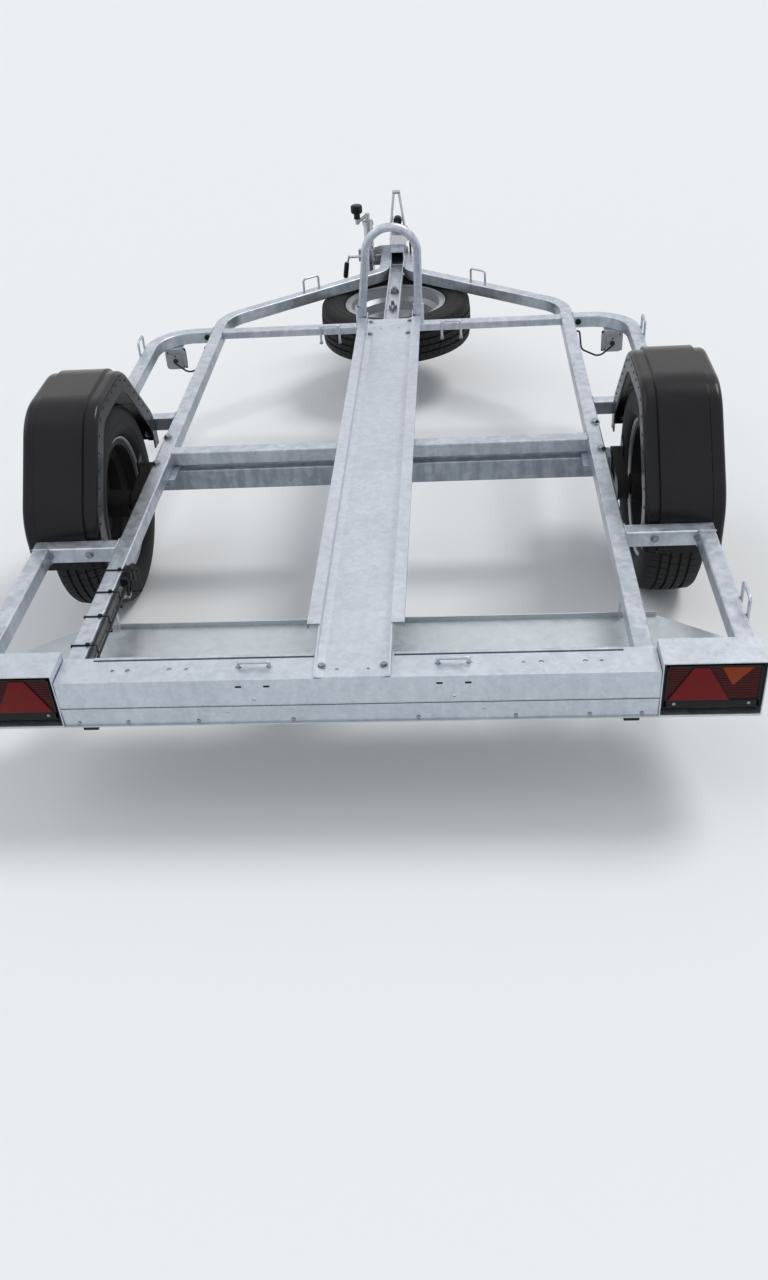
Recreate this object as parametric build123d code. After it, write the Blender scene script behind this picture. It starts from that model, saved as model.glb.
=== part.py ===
from build123d import *
import math
import os

# Motorcycle trailer: a galvanised tube frame with one wheel channel, a hoop,
# two road wheels under black mudguards, a spare wheel and a jockey wheel.
# Millimetres, +Z up, +Y towards the coupling, +X to the right seen from behind.
# While modelling, Y is the distance from the rear beam's rear face. At the end
# all pieces move back by half the overall length, so the origin lies on the
# ground below the middle of the trailer. Pieces are drawn for the right side
# and mirrored for the left.

# Overall
FRAME_TOP = 365.0
TAIL_HALF = 823.0
SEAT_GAP = 0.3

# Frame tubes
TUBE = 40.0
TUBE_WALL = 3.0
TUBE_CORNER = 4.0
FRAME_BOTTOM = FRAME_TOP - TUBE
RAIL_X = 592.0
RAIL_INNER = RAIL_X - TUBE / 2
RAIL_OUTER = RAIL_X + TUBE / 2
MID_CROSS_Y = 1047.0
FRONT_CROSS_Y = 1942.0
FRONT_CROSS_HEIGHT = 25.0
FRONT_CROSS_FACE = FRONT_CROSS_Y + TUBE / 2
SIDE_BAR_OUTER = TAIL_HALF - 4.0
SIDE_BAR_X = SIDE_BAR_OUTER - TUBE / 2
CORNER_BAR_Y = FRONT_CROSS_Y + 10.0
CORNER_BAR_RADIUS = 130.0

# Centre beam and drawbar
BEAM_WIDTH = 50.0
BEAM_HEIGHT = 27.0
BEAM_UNDER = FRAME_TOP - BEAM_HEIGHT
KNEE_Y = FRONT_CROSS_Y + 138.0
KNEE_RADIUS = 150.0
DRAWBAR_RUN = 427.0
NECK_RADIUS = 80.0
NECK_X = BEAM_WIDTH / 2 + TUBE / 2
NECK_OUTER = NECK_X + TUBE / 2
NECK_Y = KNEE_Y + DRAWBAR_RUN
DRAWBAR_END_Y = NECK_Y + 193.0
NOSE_BOX = 50.0
NOSE_BOX_RAISE = 26.0
NOSE_BOX_TOP = FRAME_TOP + NOSE_BOX_RAISE
NOSE_BOX_REAR = NECK_Y + 113.0
NOSE_BOX_LENGTH = 110.0
NOSE_BOX_FRONT = NOSE_BOX_REAR + NOSE_BOX_LENGTH

# Rear beam, a folded sheet, with its shelf
SHEET = 3.0
BEAM_FLANGE = 84.0
BEAM_HALF = TAIL_HALF - 207.0
BEAM_BOTTOM = 250.0
BEAM_FOLD_Z = 300.0
BEAM_TOE_IN = 4.0
BEAM_LIP = 14.0
BEAM_LIP_END = 24.0
BEAM_HOLE_Y = 40.0
BEAM_SLOT_Y = 12.0
TRAY_LOW = BEAM_BOTTOM - SHEET
TRAY_HALF = 665.0
TRAY_TIP_HALF = TAIL_HALF - 1.0
TRAY_SHOULDER_STEP = 22.0
TRAY_DEPTH = 357.0
TRAY_SHOULDER_Y = TRAY_DEPTH - 89.0
TRAY_LIP = 12.0
STRAP_WIDTH = 14.0
STRAP_X = RAIL_X - 14.0

# Rear lamps in their sheet boxes
LAMP_BOX_IN = BEAM_HALF + 2.0
LAMP_BOX_OUT = TAIL_HALF
LAMP_BOX_TOP = FRAME_TOP + 19.0
LAMP_BOX_SHEET = 2.5
LAMP_RIM = 6.0
LAMP_LENS_DEPTH = 16.0
LAMP_BODY_DEPTH = 42.0
LAMP_SILL = 15.0

# Wheel channel
CHANNEL_HALF = 78.0
CHANNEL_FLANGE_HALF = CHANNEL_HALF + 25.0
CHANNEL_TOP = FRAME_TOP + 30.0
CHANNEL_LIP = 12.0
CHANNEL_FRONT = FRONT_CROSS_Y + 33.0
CHANNEL_FLANGE_REAR = 150.0
CHANNEL_FLANGE_FRONT = FRONT_CROSS_Y - 24.0
CHANNEL_FOLD_HALF = 58.0
CHANNEL_FOLD_RISE = 3.0

# Hoop
HOOP_TUBE_R = 14.0
SLEEVE_R = 18.0
SLEEVE_HEIGHT = 62.0
HOOP_HALF = CHANNEL_HALF + SLEEVE_R + 0.5
HOOP_Y = FRONT_CROSS_Y + 3.0
HOOP_TOP = FRAME_TOP + 329.0

# Road wheels
TYRE_R = 273.5
TYRE_HALF = 78.5
TYRE_TREAD_HALF = 62.0
TYRE_GROOVE = 7.0
TYRE_GROOVE_HALF = 3.5
TYRE_GROOVES = (-36.0, -12.5, 12.5, 36.0)
RIM_FLANGE_R = 182.5
RIM_BEAD_R = 165.0
RIM_HALF = 62.0
RIM_SHEET = 3.5
RIM_WELL_R = 143.0
RIM_LIP = 8.0
DISC_OFFSET = 30.0
DISC_SHEET = 5.0
DISC_BORE_R = 29.0
DISC_CROWN = 16.0
DISC_VENTS = 12
DISC_VENT_R = 11.0
DISC_VENT_CIRCLE_R = 116.0
WHEEL_BOLTS = 4
WHEEL_BOLT_CIRCLE_R = 49.0
WHEEL_BOLT_R = 7.0
WHEEL_Y = MID_CROSS_Y - 131.0
WHEEL_X = 757.0

# Axle
AXLE_BEAM = 60.0
AXLE_Y = MID_CROSS_Y - 2.0
AXLE_PAD = 10.0
AXLE_TOP = FRAME_BOTTOM - AXLE_PAD
AXLE_Z = AXLE_TOP - AXLE_BEAM / 2
AXLE_HALF = RAIL_OUTER + 24.0
AXLE_PAD_LENGTH = 196.0
AXLE_PAD_WIDTH = 58.0
AXLE_WEB_DEPTH = 48.0
ARM_THICK = 30.0
ARM_GAP = 3.0
ARM_PIVOT_R = 42.0
ARM_HUB_R = 32.0
ARM_SHAFT_R = 23.0
ARM_POCKET_LENGTH = 62.0
ARM_POCKET_WIDTH = 24.0
ARM_POCKET_DEPTH = 9.0
ARM_FIN = 5.0
ARM_FIN_HEIGHT = 34.0
ARM_FIN_LENGTH = 40.0
ARM_IN = AXLE_HALF + ARM_GAP
ARM_OUT = ARM_IN + ARM_THICK
STUB_R = 17.0
HUB_R = 38.0
HUB_FLANGE_R = 66.0
HUB_FLANGE = 9.0
HUB_CLEAR = 6.0
HUB_CAP_R = 26.0
HUB_CAP_LENGTH = 26.0
DISC_FACE = WHEEL_X + DISC_OFFSET

# Outriggers
OUTRIGGER_REAR_Y = WHEEL_Y - 365.0
OUTRIGGER_FRONT_Y = WHEEL_Y + 361.0

# Mudguards
GUARD_WIDTH = 190.0
GUARD_WALL = 3.0
GUARD_STEP = 7.0
GUARD_BAND = 32.0
GUARD_SKIRT = 60.0
GUARD_BEND_R = 150.0
GUARD_EDGE_R = 14.0
GUARD_REAR_Y = OUTRIGGER_REAR_Y + TUBE / 2
GUARD_FRONT_Y = OUTRIGGER_FRONT_Y - TUBE / 2
GUARD_REAR_LOW = FRAME_BOTTOM - 45.0
GUARD_REAR_HIGH = FRAME_TOP + 45.0
GUARD_TOP = FRAME_TOP + 268.0
GUARD_TOP_REAR_Y = WHEEL_Y - 153.0
GUARD_TOP_FRONT_Y = WHEEL_Y + 114.0
GUARD_FRONT_HIGH = FRAME_TOP + 23.0
GUARD_FRONT_LOW = FRAME_BOTTOM - 25.0

# Spare wheel, hung under the centre beam
SPARE_Y = FRONT_CROSS_Y + 367.0
SPARE_Z = FRAME_BOTTOM - SEAT_GAP - TYRE_HALF
HOLDER_ROD_R = 8.0
HOLDER_PLATE_R = 46.0
HOLDER_PLATE = 6.0
HOLDER_ROD_END = 22.0
NUT_R = 14.0
NUT_HEIGHT = 13.0
CLIP_Y = SPARE_Y - 165.0
CLIP_HEIGHT = 30.0

# Coupling
BALL_R = 25.0
BALL_CLEAR = 0.4
SOCKET_WALL = 11.0
SOCKET_SKIRT = 20.0
SOCKET_R = BALL_R + BALL_CLEAR + SOCKET_WALL
BALL_Y = NOSE_BOX_FRONT + 82.0
BALL_Z = NOSE_BOX_TOP + 4.0
NOSE_Y = BALL_Y + SOCKET_R
COUPLING_HALF = 31.0
COUPLING_SHEET = 5.5
COUPLING_REAR = NOSE_BOX_FRONT - 44.0
COUPLING_TOP = NOSE_BOX_TOP + 36.0
COUPLING_LOW = FRAME_TOP - 12.0
COUPLING_CORNER = 12.0
COUPLING_RISE = 24.0
HANDLE_HALF = 33.0
HANDLE_TIP_HALF = 10.0
HANDLE_ROD_R = 5.0
HANDLE_HEIGHT = 132.0
HANDLE_LEAN = 22.0
HANDLE_PIVOT_R = 9.0
HANDLE_PIVOT_Y = BALL_Y - 44.0
HANDLE_PIVOT_Z = COUPLING_TOP + HANDLE_PIVOT_R
PLUG_R = 17.0
PLUG_LENGTH = 46.0
PLUG_Y = HANDLE_PIVOT_Y + 5.0
PLUG_Z = HANDLE_PIVOT_Z + HANDLE_PIVOT_R + PLUG_R
PLUG_CABLE_R = 4.0

# Jockey wheel
JOCKEY_X = -(NECK_OUTER + 45.0)
JOCKEY_Y = NECK_Y + 177.0
JOCKEY_TUBE_R = 17.5
JOCKEY_TUBE_WALL = 2.5
JOCKEY_BORE_R = JOCKEY_TUBE_R - JOCKEY_TUBE_WALL
JOCKEY_TUBE_LOW = 246.0
JOCKEY_TUBE_HIGH = 494.0
JOCKEY_CAP = 6.0
JOCKEY_COLLAR = 16.0
JOCKEY_COLLAR_R = 21.0
JOCKEY_INNER_LOW = 182.0
JOCKEY_INNER_HIGH = 420.0
JOCKEY_WHEEL_R = 80.0
JOCKEY_WHEEL_HALF = 20.0
JOCKEY_HUB_R = 18.0
JOCKEY_DISH = 12.0
JOCKEY_AXLE_R = 6.0
JOCKEY_AXLE_END = 6.0
JOCKEY_TRAIL = 30.0
FORK_SHEET = 5.0
FORK_HALF = 30.0
FORK_REACH = 24.0
FORK_TOP = 176.0
FORK_CROWN = 6.0
FORK_FOOT = 13.0
FORK_BOSS_R = 20.0
CRANK_RISE = 30.0
CRANK_DROP = 20.0
CRANK_REACH = 40.0
CRANK_ROD_R = 6.0
CRANK_BOSS = 20.0
KNOB_X = JOCKEY_X - CRANK_REACH
KNOB_LOW = JOCKEY_TUBE_HIGH + CRANK_RISE - CRANK_DROP
KNOB_STEM_R = 12.0
KNOB_STEM = 20.0
KNOB_R = 22.0
KNOB_HEIGHT = 32.0
KNOB_ROUND = 8.0
CLAMP_HEIGHT = 44.0
CLAMP_Z = FRAME_TOP + 1.0
CLAMP_WALL = 6.0
CLAMP_R = JOCKEY_TUBE_R + CLAMP_WALL
CLAMP_EAR = 26.0
CLAMP_EAR_HALF = 12.0
CLAMP_SLOT_HALF = 2.0
CLAMP_BOLT_X = JOCKEY_X - JOCKEY_TUBE_R - 16.0
CLAMP_BOLT_R = 5.0
CLAMP_BRIDGE_HALF = 14.0
BRACKET_TOP = NOSE_BOX_TOP + 9.0
BRACKET_RIGHT = 5.0
BRACKET = 6.0
LEVER_ROD_R = 5.0
LEVER_SET_BACK = 20.0
LEVER_REACH = 46.0
LEVER_SPREAD = 14.0
LEVER_DROP = 38.0
LEVER_GRIP_R = 9.0
LEVER_GRIP = 36.0
LEVER_GRIP_SPREAD = 6.0

# Lashing loops, bent from round rod
LOOP_ROD_R = 4.0
LOOP_WIDTH = 64.0
LOOP_LOW_HEIGHT = 20.0
LOOP_TALL_HEIGHT = 46.0
LOOP_BEND = 2.4
LOOP_FOOT = FRAME_TOP + LOOP_ROD_R / 4
LOOP_SIDE_FOOT = FRAME_TOP - 30.0
LOOP_INNER_X = 205.0
LOOP_BEAM_Y = 44.0
LOOP_DRAWBAR_X = 303.0
LOOP_REAR_Y = 225.0
LOOP_FRONT_Y = CORNER_BAR_Y - 157.0
LOOP_SIDE_HEIGHT = FRAME_TOP + 38.0 - LOOP_SIDE_FOOT

# Marker lamps
MARKER_X = SIDE_BAR_OUTER - 79.0
MARKER_Y = CORNER_BAR_Y - 50.0
MARKER_WIDTH = 68.0
MARKER_HEIGHT = 68.0
MARKER_DEPTH = 24.0
MARKER_CORNER = 14.0
MARKER_TAB = 3.0
MARKER_TAB_HALF = 27.0
MARKER_TAB_REAR = 10.0

# Wiring on the left rail and between marker lamps and rails
CABLE_R = 3.0
CONDUIT_R = 6.5
CONDUIT_X = -(RAIL_INNER - CONDUIT_R - SEAT_GAP)
CONDUIT_Z = FRAME_TOP - 15.0
JUNCTION_DEPTH = 36.0
JUNCTION_HEIGHT = 52.0
JUNCTION_REAR = 372.0
JUNCTION_LENGTH = 112.0
JUNCTION_TOP = FRAME_TOP - 6.0
JUNCTION_CORNER = 7.0
TIE_WIDTH = 4.5
TIE_THICK = 1.6
TIE_CLEAR = 0.3
TIES_Y = (131.0, 239.0, 336.0)
TIE_JUNCTION_Y = 429.0

# Rubber feet under the shelf
FOOT_X = 566.0
FOOT_WIDTH = 32.0
FOOT_DEPTH = 22.0
FOOT_HEIGHT = 14.0
FOOT_REAR = 8.0


def span(x_range, y_range, z_range):
    """Returns a box between the given limits."""
    size = [abs(high - low) for low, high in (x_range, y_range, z_range)]
    middle = [(high + low) / 2 for low, high in (x_range, y_range, z_range)]
    return Pos(*middle) * Box(*size)


def rod(start, end, radius):
    """Returns a round bar from one point to another."""
    first = Vector(*start)
    along = Vector(*end) - first
    plane = Plane(origin=first, z_dir=along.normalized())
    return extrude(plane * Circle(radius), amount=along.length)


def pipe(points, radii, radius):
    """Returns a round bar along straight runs joined by arcs."""
    path = FilletPolyline(*points, radius=radii)
    plane = Plane(origin=path @ 0, z_dir=path % 0)
    return sweep(plane * Circle(radius), path)


def other_side(solid):
    """Returns the piece mirrored to the trailer's other side."""
    return mirror(solid, about=Plane.YZ)


def both(*solids):
    """Returns right-side pieces and their mirror images as one set of solids."""
    pieces = []
    for solid in solids:
        pieces += [solid, other_side(solid)]
    return Compound(children=pieces)


def tube_section(width, height):
    """Returns the hollow rectangular section of a frame tube."""
    outside = RectangleRounded(width, height, TUBE_CORNER)
    inside = RectangleRounded(width - 2 * TUBE_WALL, height - 2 * TUBE_WALL, TUBE_CORNER / 2)
    return outside - inside


def flat_tube(points, radii, height=TUBE):
    """Sweeps a frame tube along a level line of X, Y points."""
    level = FRAME_TOP - height / 2
    line = [(x, y, level) for x, y in points]
    path = FilletPolyline(*line, radius=radii) if radii else Line(*line)
    ahead = path % 0
    sideways = ahead.cross(Vector(0, 0, 1))
    plane = Plane(origin=path @ 0, x_dir=sideways, z_dir=ahead)
    return sweep(plane * tube_section(TUBE, height), path)


def profile_x(points, x_range):
    """Extrudes a closed outline of Y, Z points between two X places."""
    plane = Plane(origin=(x_range[0], 0, 0), x_dir=(0, 1, 0), z_dir=(1, 0, 0))
    face = plane * Polygon(*points, align=None)
    return extrude(face, amount=x_range[1] - x_range[0], dir=(1, 0, 0))


def profile_y(points, y_range):
    """Extrudes a closed outline of X, Z points between two Y places."""
    plane = Plane(origin=(0, y_range[1], 0), x_dir=(1, 0, 0), z_dir=(0, -1, 0))
    face = plane * Polygon(*points, align=None)
    return extrude(face, amount=y_range[1] - y_range[0], dir=(0, -1, 0))


def profile_z(points, z_range):
    """Extrudes a closed outline of X, Y points between two heights."""
    face = Plane.XY.offset(z_range[0]) * Polygon(*points, align=None)
    return extrude(face, amount=z_range[1] - z_range[0], dir=(0, 0, 1))


def turned(rows):
    """Turns a closed outline of X place, radius rows about the X axis."""
    return revolve(Plane.XY * Polygon(*rows, align=None), Axis.X)


# Frame
def side_rail():
    """Rail with its drawbar: straight, bent inwards, then parallel again."""
    points = [
        (RAIL_X, BEAM_FLANGE),
        (RAIL_X, KNEE_Y),
        (NECK_X, NECK_Y),
        (NECK_X, DRAWBAR_END_Y),
    ]
    return flat_tube(points, [KNEE_RADIUS, NECK_RADIUS])


def cross_tube(middle_y, height):
    """Tube between the two rails."""
    return flat_tube([(-RAIL_INNER, middle_y), (RAIL_INNER, middle_y)], None, height)


def outrigger(middle_y):
    """Tube from the rail out to the side bar's outer face."""
    return flat_tube([(RAIL_OUTER, middle_y), (SIDE_BAR_OUTER, middle_y)], None)


def side_bar_rear():
    """Bar from the lamp box to the rear outrigger."""
    front = OUTRIGGER_REAR_Y - TUBE / 2
    return flat_tube([(SIDE_BAR_X, BEAM_FLANGE), (SIDE_BAR_X, front)], None)


def side_bar_front():
    """Bar from the rail, bent round the front corner, back to the front outrigger."""
    rear = OUTRIGGER_FRONT_Y + TUBE / 2
    points = [(RAIL_OUTER, CORNER_BAR_Y), (SIDE_BAR_X, CORNER_BAR_Y), (SIDE_BAR_X, rear)]
    return flat_tube(points, [CORNER_BAR_RADIUS])


# Rear beam: top flange with a lip, a web in two planes and a shelf below
BEAM_INSIDE = FRAME_TOP - SHEET

# Holes on the beam's top, right side: X place, radius
BEAM_HOLES = ((346.0, 4.0), (382.0, 5.5), (470.0, 5.5), (502.0, 4.0))
# Holes through the beam's web, right side: X place, height, radius
WEB_HOLES = ((205.0, 315.0, 4.0), (264.0, 280.0, 4.0))


def rear_beam():
    """Folded sheet across the tail, closed under the rails' ends."""
    web = [
        (0.0, FRAME_TOP),
        (BEAM_FLANGE, FRAME_TOP),
        (BEAM_FLANGE, BEAM_INSIDE),
        (SHEET, BEAM_INSIDE),
        (SHEET, BEAM_FOLD_Z),
        (BEAM_TOE_IN + SHEET, BEAM_BOTTOM),
        (BEAM_TOE_IN, BEAM_BOTTOM),
        (0.0, BEAM_FOLD_Z),
    ]
    beam = profile_x(web, (-BEAM_HALF, BEAM_HALF))
    lip_half = RAIL_INNER - BEAM_LIP_END
    beam += span((-lip_half, lip_half), (BEAM_FLANGE - SHEET, BEAM_FLANGE), (FRAME_TOP - BEAM_LIP, BEAM_INSIDE))
    end = span((RAIL_INNER, RAIL_OUTER), (SHEET, BEAM_FLANGE), (FRAME_BOTTOM, BEAM_INSIDE))
    beam += end
    beam += other_side(end)
    for x, radius in BEAM_HOLES:
        for place in (-x, x):
            beam -= rod((place, BEAM_HOLE_Y, FRAME_TOP - BEAM_LIP), (place, BEAM_HOLE_Y, CHANNEL_TOP), radius)
    for x, z, radius in WEB_HOLES:
        for place in (-x, x):
            beam -= rod((place, -SHEET, z), (place, BEAM_SLOT_Y, z), radius)
    return beam


def rear_shelf():
    """Shelf at the beam's foot, with cut corners and a lip along its front edge."""
    shoulder = TRAY_TIP_HALF - TRAY_SHOULDER_STEP
    right = [
        (TRAY_TIP_HALF, 0.0),
        (TRAY_TIP_HALF, BEAM_FLANGE),
        (shoulder, TRAY_SHOULDER_Y),
        (TRAY_HALF, TRAY_DEPTH),
    ]
    left = [(-x, y) for x, y in reversed(right)]
    shelf = profile_z(right + left, (TRAY_LOW, BEAM_BOTTOM))
    lip_y = (TRAY_DEPTH - SHEET, TRAY_DEPTH)
    return shelf + span((-TRAY_HALF, TRAY_HALF), lip_y, (TRAY_LOW, BEAM_BOTTOM + TRAY_LIP))


def shelf_strap():
    """Flat strap that hangs the shelf's front edge from the rail."""
    front = TRAY_DEPTH - SHEET
    return span((STRAP_X, STRAP_X + SHEET), (front - STRAP_WIDTH, front), (BEAM_BOTTOM, FRAME_BOTTOM))


def lamp_box():
    """Sheet box that holds the rear lamp, open to the rear."""
    wall = LAMP_BOX_SHEET
    outside = span((LAMP_BOX_IN, LAMP_BOX_OUT), (0, BEAM_FLANGE), (BEAM_BOTTOM, LAMP_BOX_TOP))
    inside = span((LAMP_BOX_IN + wall, LAMP_BOX_OUT - wall), (-wall, BEAM_FLANGE - wall),
                  (BEAM_BOTTOM + wall, LAMP_BOX_TOP - wall))
    return outside - inside


def tail_lamp():
    """Lamp body and, in front of it, its lens."""
    x_range = (LAMP_BOX_IN + LAMP_BOX_SHEET, LAMP_BOX_OUT - LAMP_BOX_SHEET)
    z_range = (BEAM_BOTTOM + LAMP_SILL, LAMP_BOX_TOP - LAMP_BOX_SHEET)
    body = span(x_range, (LAMP_LENS_DEPTH, LAMP_LENS_DEPTH + LAMP_BODY_DEPTH), z_range)
    body += span(x_range, (LAMP_RIM, LAMP_LENS_DEPTH), z_range)
    lens_x = (x_range[0] + LAMP_RIM, x_range[1] - LAMP_RIM)
    lens_z = (z_range[0] + LAMP_RIM, z_range[1] - LAMP_RIM)
    lens = span(lens_x, (BEAM_TOE_IN, LAMP_LENS_DEPTH), lens_z)
    return body - lens, lens


# Wheel channel
# Holes through the channel's floor, right side: X place, Y place, radius
CHANNEL_HOLES = (
    (32.0, 26.0, 4.0),
    (30.0, CHANNEL_FLANGE_FRONT - 28.0, 3.5),
)


def wheel_channel():
    """Long folded channel with flat flanges, cut down to its floor at the rear."""
    fold = FRAME_TOP + CHANNEL_FOLD_RISE
    half = [
        (0.0, FRAME_TOP),
        (CHANNEL_FOLD_HALF, FRAME_TOP),
        (CHANNEL_HALF, fold),
        (CHANNEL_HALF, CHANNEL_TOP - SHEET),
        (CHANNEL_FLANGE_HALF - SHEET, CHANNEL_TOP - SHEET),
        (CHANNEL_FLANGE_HALF - SHEET, CHANNEL_TOP - CHANNEL_LIP),
        (CHANNEL_FLANGE_HALF, CHANNEL_TOP - CHANNEL_LIP),
        (CHANNEL_FLANGE_HALF, CHANNEL_TOP),
        (CHANNEL_HALF - SHEET, CHANNEL_TOP),
        (CHANNEL_HALF - SHEET, fold + SHEET),
        (CHANNEL_FOLD_HALF, FRAME_TOP + SHEET),
        (0.0, FRAME_TOP + SHEET),
    ]
    right = profile_y(half, (0.0, CHANNEL_FRONT))
    channel = right + other_side(right)
    wide = (-CHANNEL_FLANGE_HALF - SHEET, CHANNEL_FLANGE_HALF + SHEET)
    above = CHANNEL_TOP + SHEET
    ramp_cut = [
        (-SHEET, fold + SHEET),
        (CHANNEL_FLANGE_REAR, CHANNEL_TOP - SHEET),
        (CHANNEL_FLANGE_REAR, above),
        (-SHEET, above),
    ]
    channel -= profile_x(ramp_cut, wide)
    for y_range in ((-SHEET, CHANNEL_FLANGE_REAR), (CHANNEL_FLANGE_FRONT, CHANNEL_FRONT + SHEET)):
        flange = span((CHANNEL_HALF, wide[1]), y_range, (fold + SHEET, above))
        channel -= flange
        channel -= other_side(flange)
    for x, y, radius in CHANNEL_HOLES:
        for side in (-1, 1):
            channel -= rod((side * x, y, FRAME_BOTTOM), (side * x, y, CHANNEL_TOP), radius)
    return channel


# Hoop
def hoop():
    """Round bar bent into an arch over the channel's front end."""
    spring = HOOP_TOP - HOOP_TUBE_R - HOOP_HALF
    left = (-HOOP_HALF, HOOP_Y, spring)
    right = (HOOP_HALF, HOOP_Y, spring)
    rise = Line((-HOOP_HALF, HOOP_Y, FRAME_TOP), left)
    arch = ThreePointArc(left, (0, HOOP_Y, spring + HOOP_HALF), right)
    fall = Line(right, (HOOP_HALF, HOOP_Y, FRAME_TOP))
    foot = Plane(origin=(-HOOP_HALF, HOOP_Y, FRAME_TOP), z_dir=(0, 0, 1))
    return sweep(foot * Circle(HOOP_TUBE_R), Wire([rise, arch, fall]))


def hoop_sleeve():
    """Sleeve that holds a leg of the hoop."""
    top = FRAME_TOP + SLEEVE_HEIGHT
    collar = rod((HOOP_HALF, HOOP_Y, FRAME_TOP), (HOOP_HALF, HOOP_Y, top), SLEEVE_R)
    return collar - rod((HOOP_HALF, HOOP_Y, FRAME_BOTTOM), (HOOP_HALF, HOOP_Y, top + SHEET), HOOP_TUBE_R)


# Road wheels
def tyre():
    """Tyre about the X axis, with its beads on the rim and four grooves round it."""
    bead = RIM_HALF - RIM_LIP - 1.0
    wall = TYRE_R - RIM_FLANGE_R
    side = [
        (bead - 1.0, RIM_BEAD_R + 0.5),
        (bead, RIM_FLANGE_R - 1.5),
        (RIM_HALF - 2.0, RIM_FLANGE_R + 3.0),
        (TYRE_HALF * 0.96, RIM_FLANGE_R + wall * 0.28),
        (TYRE_HALF, RIM_FLANGE_R + wall * 0.50),
        (TYRE_HALF * 0.97, RIM_FLANGE_R + wall * 0.72),
        (TYRE_HALF * 0.90, RIM_FLANGE_R + wall * 0.86),
        (TYRE_TREAD_HALF, TYRE_R - wall * 0.045),
    ]
    crown = [(TYRE_TREAD_HALF * 0.5, TYRE_R - 0.8), (0.0, TYRE_R)]
    half = side + crown
    body = turned(half + [(-x, r) for x, r in reversed(half[:-1])])
    for x in TYRE_GROOVES:
        bottom = TYRE_R - TYRE_GROOVE
        groove = [
            (x - TYRE_GROOVE_HALF, TYRE_R + 1.0),
            (x + TYRE_GROOVE_HALF, TYRE_R + 1.0),
            (x + TYRE_GROOVE_HALF / 2, bottom),
            (x - TYRE_GROOVE_HALF / 2, bottom),
        ]
        body -= turned(groove)
    return body


# Barrel of the rim, from the disc side: X place, radius of the outside
RIM_STEPS = (
    (RIM_HALF, RIM_FLANGE_R),
    (RIM_HALF - RIM_LIP, RIM_FLANGE_R - 3.0),
    (RIM_HALF - RIM_LIP - 1.0, RIM_BEAD_R),
    (RIM_HALF - 26.0, RIM_BEAD_R - 3.0),
    (RIM_HALF - 34.0, RIM_WELL_R),
    (-RIM_HALF + 50.0, RIM_WELL_R),
    (-RIM_HALF + 38.0, RIM_BEAD_R - 3.0),
    (-RIM_HALF + RIM_LIP + 1.0, RIM_BEAD_R),
    (-RIM_HALF + RIM_LIP, RIM_FLANGE_R - 3.0),
    (-RIM_HALF, RIM_FLANGE_R),
)
# The same points moved to the inside: X shift, from the disc side
RIM_SHIFTS = (0.0, 3.0, 3.0, 2.0, 2.0, -2.0, -2.0, -3.0, -3.0, 0.0)

# Pressed disc, from the bore outwards: X place from the seat, radius
DISC_STEPS = (
    (0.0, DISC_BORE_R),
    (0.0, 68.0),
    (DISC_CROWN, 86.0),
    (DISC_CROWN, 98.0),
    (-DISC_CROWN / 2, 132.0),
    (-DISC_CROWN / 2, RIM_WELL_R - RIM_SHEET),
)


def rim():
    """Pressed steel wheel about the X axis, with its disc towards +X."""
    inner = [(x + shift, r - RIM_SHEET) for (x, r), shift in zip(RIM_STEPS, RIM_SHIFTS)]
    wheel = turned(list(RIM_STEPS) + inner[::-1])
    face = [(DISC_OFFSET + x, r) for x, r in DISC_STEPS]
    back = [(x - DISC_SHEET, r) for x, r in face]
    disc = turned(face + back[::-1])
    turn = 360.0 / DISC_VENTS
    for index in range(DISC_VENTS):
        vent = Rot(index * turn, 0, 0) * Pos(DISC_OFFSET, 0, DISC_VENT_CIRCLE_R)
        disc -= vent * Rot(0, 90, 0) * Cylinder(DISC_VENT_R, 2 * RIM_HALF)
    turn = 360.0 / WHEEL_BOLTS
    for index in range(WHEEL_BOLTS):
        seat = Rot((index + 0.5) * turn, 0, 0) * Pos(DISC_OFFSET, 0, WHEEL_BOLT_CIRCLE_R)
        disc -= seat * Rot(0, 90, 0) * Cylinder(WHEEL_BOLT_R, 4 * DISC_SHEET)
    return wheel + disc


def road_place():
    """Returns the place of the right road wheel's centre."""
    return Pos(WHEEL_X, WHEEL_Y, TYRE_R)


def spare_place():
    """Returns the place of the spare, lying with its disc side down."""
    return Pos(0, SPARE_Y, SPARE_Z) * Rot(0, 90, 0)


def along_wheel_axis(start_x, end_x, radius):
    """Returns a round bar on the right wheel's axis."""
    return rod((start_x, WHEEL_Y, TYRE_R), (end_x, WHEEL_Y, TYRE_R), radius)


def hub():
    """Hub: barrel on the stub, flange against the wheel's disc, and cap."""
    start = ARM_OUT + HUB_CLEAR
    seat = DISC_FACE - DISC_SHEET
    barrel = along_wheel_axis(start, seat - HUB_FLANGE, HUB_R)
    barrel += along_wheel_axis(seat - HUB_FLANGE, seat, HUB_FLANGE_R)
    barrel += along_wheel_axis(seat, DISC_FACE + HUB_CAP_LENGTH, HUB_CAP_R)
    return barrel - along_wheel_axis(start - SHEET, seat - HUB_FLANGE, STUB_R + SEAT_GAP)


# Axle
def axle_beam():
    """Square beam across the trailer with rounded corners."""
    beam = span((-AXLE_HALF, AXLE_HALF), (AXLE_Y - AXLE_BEAM / 2, AXLE_Y + AXLE_BEAM / 2),
                (AXLE_TOP - AXLE_BEAM, AXLE_TOP))
    return fillet(beam.edges().filter_by(Axis.X), TUBE_CORNER)


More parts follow.
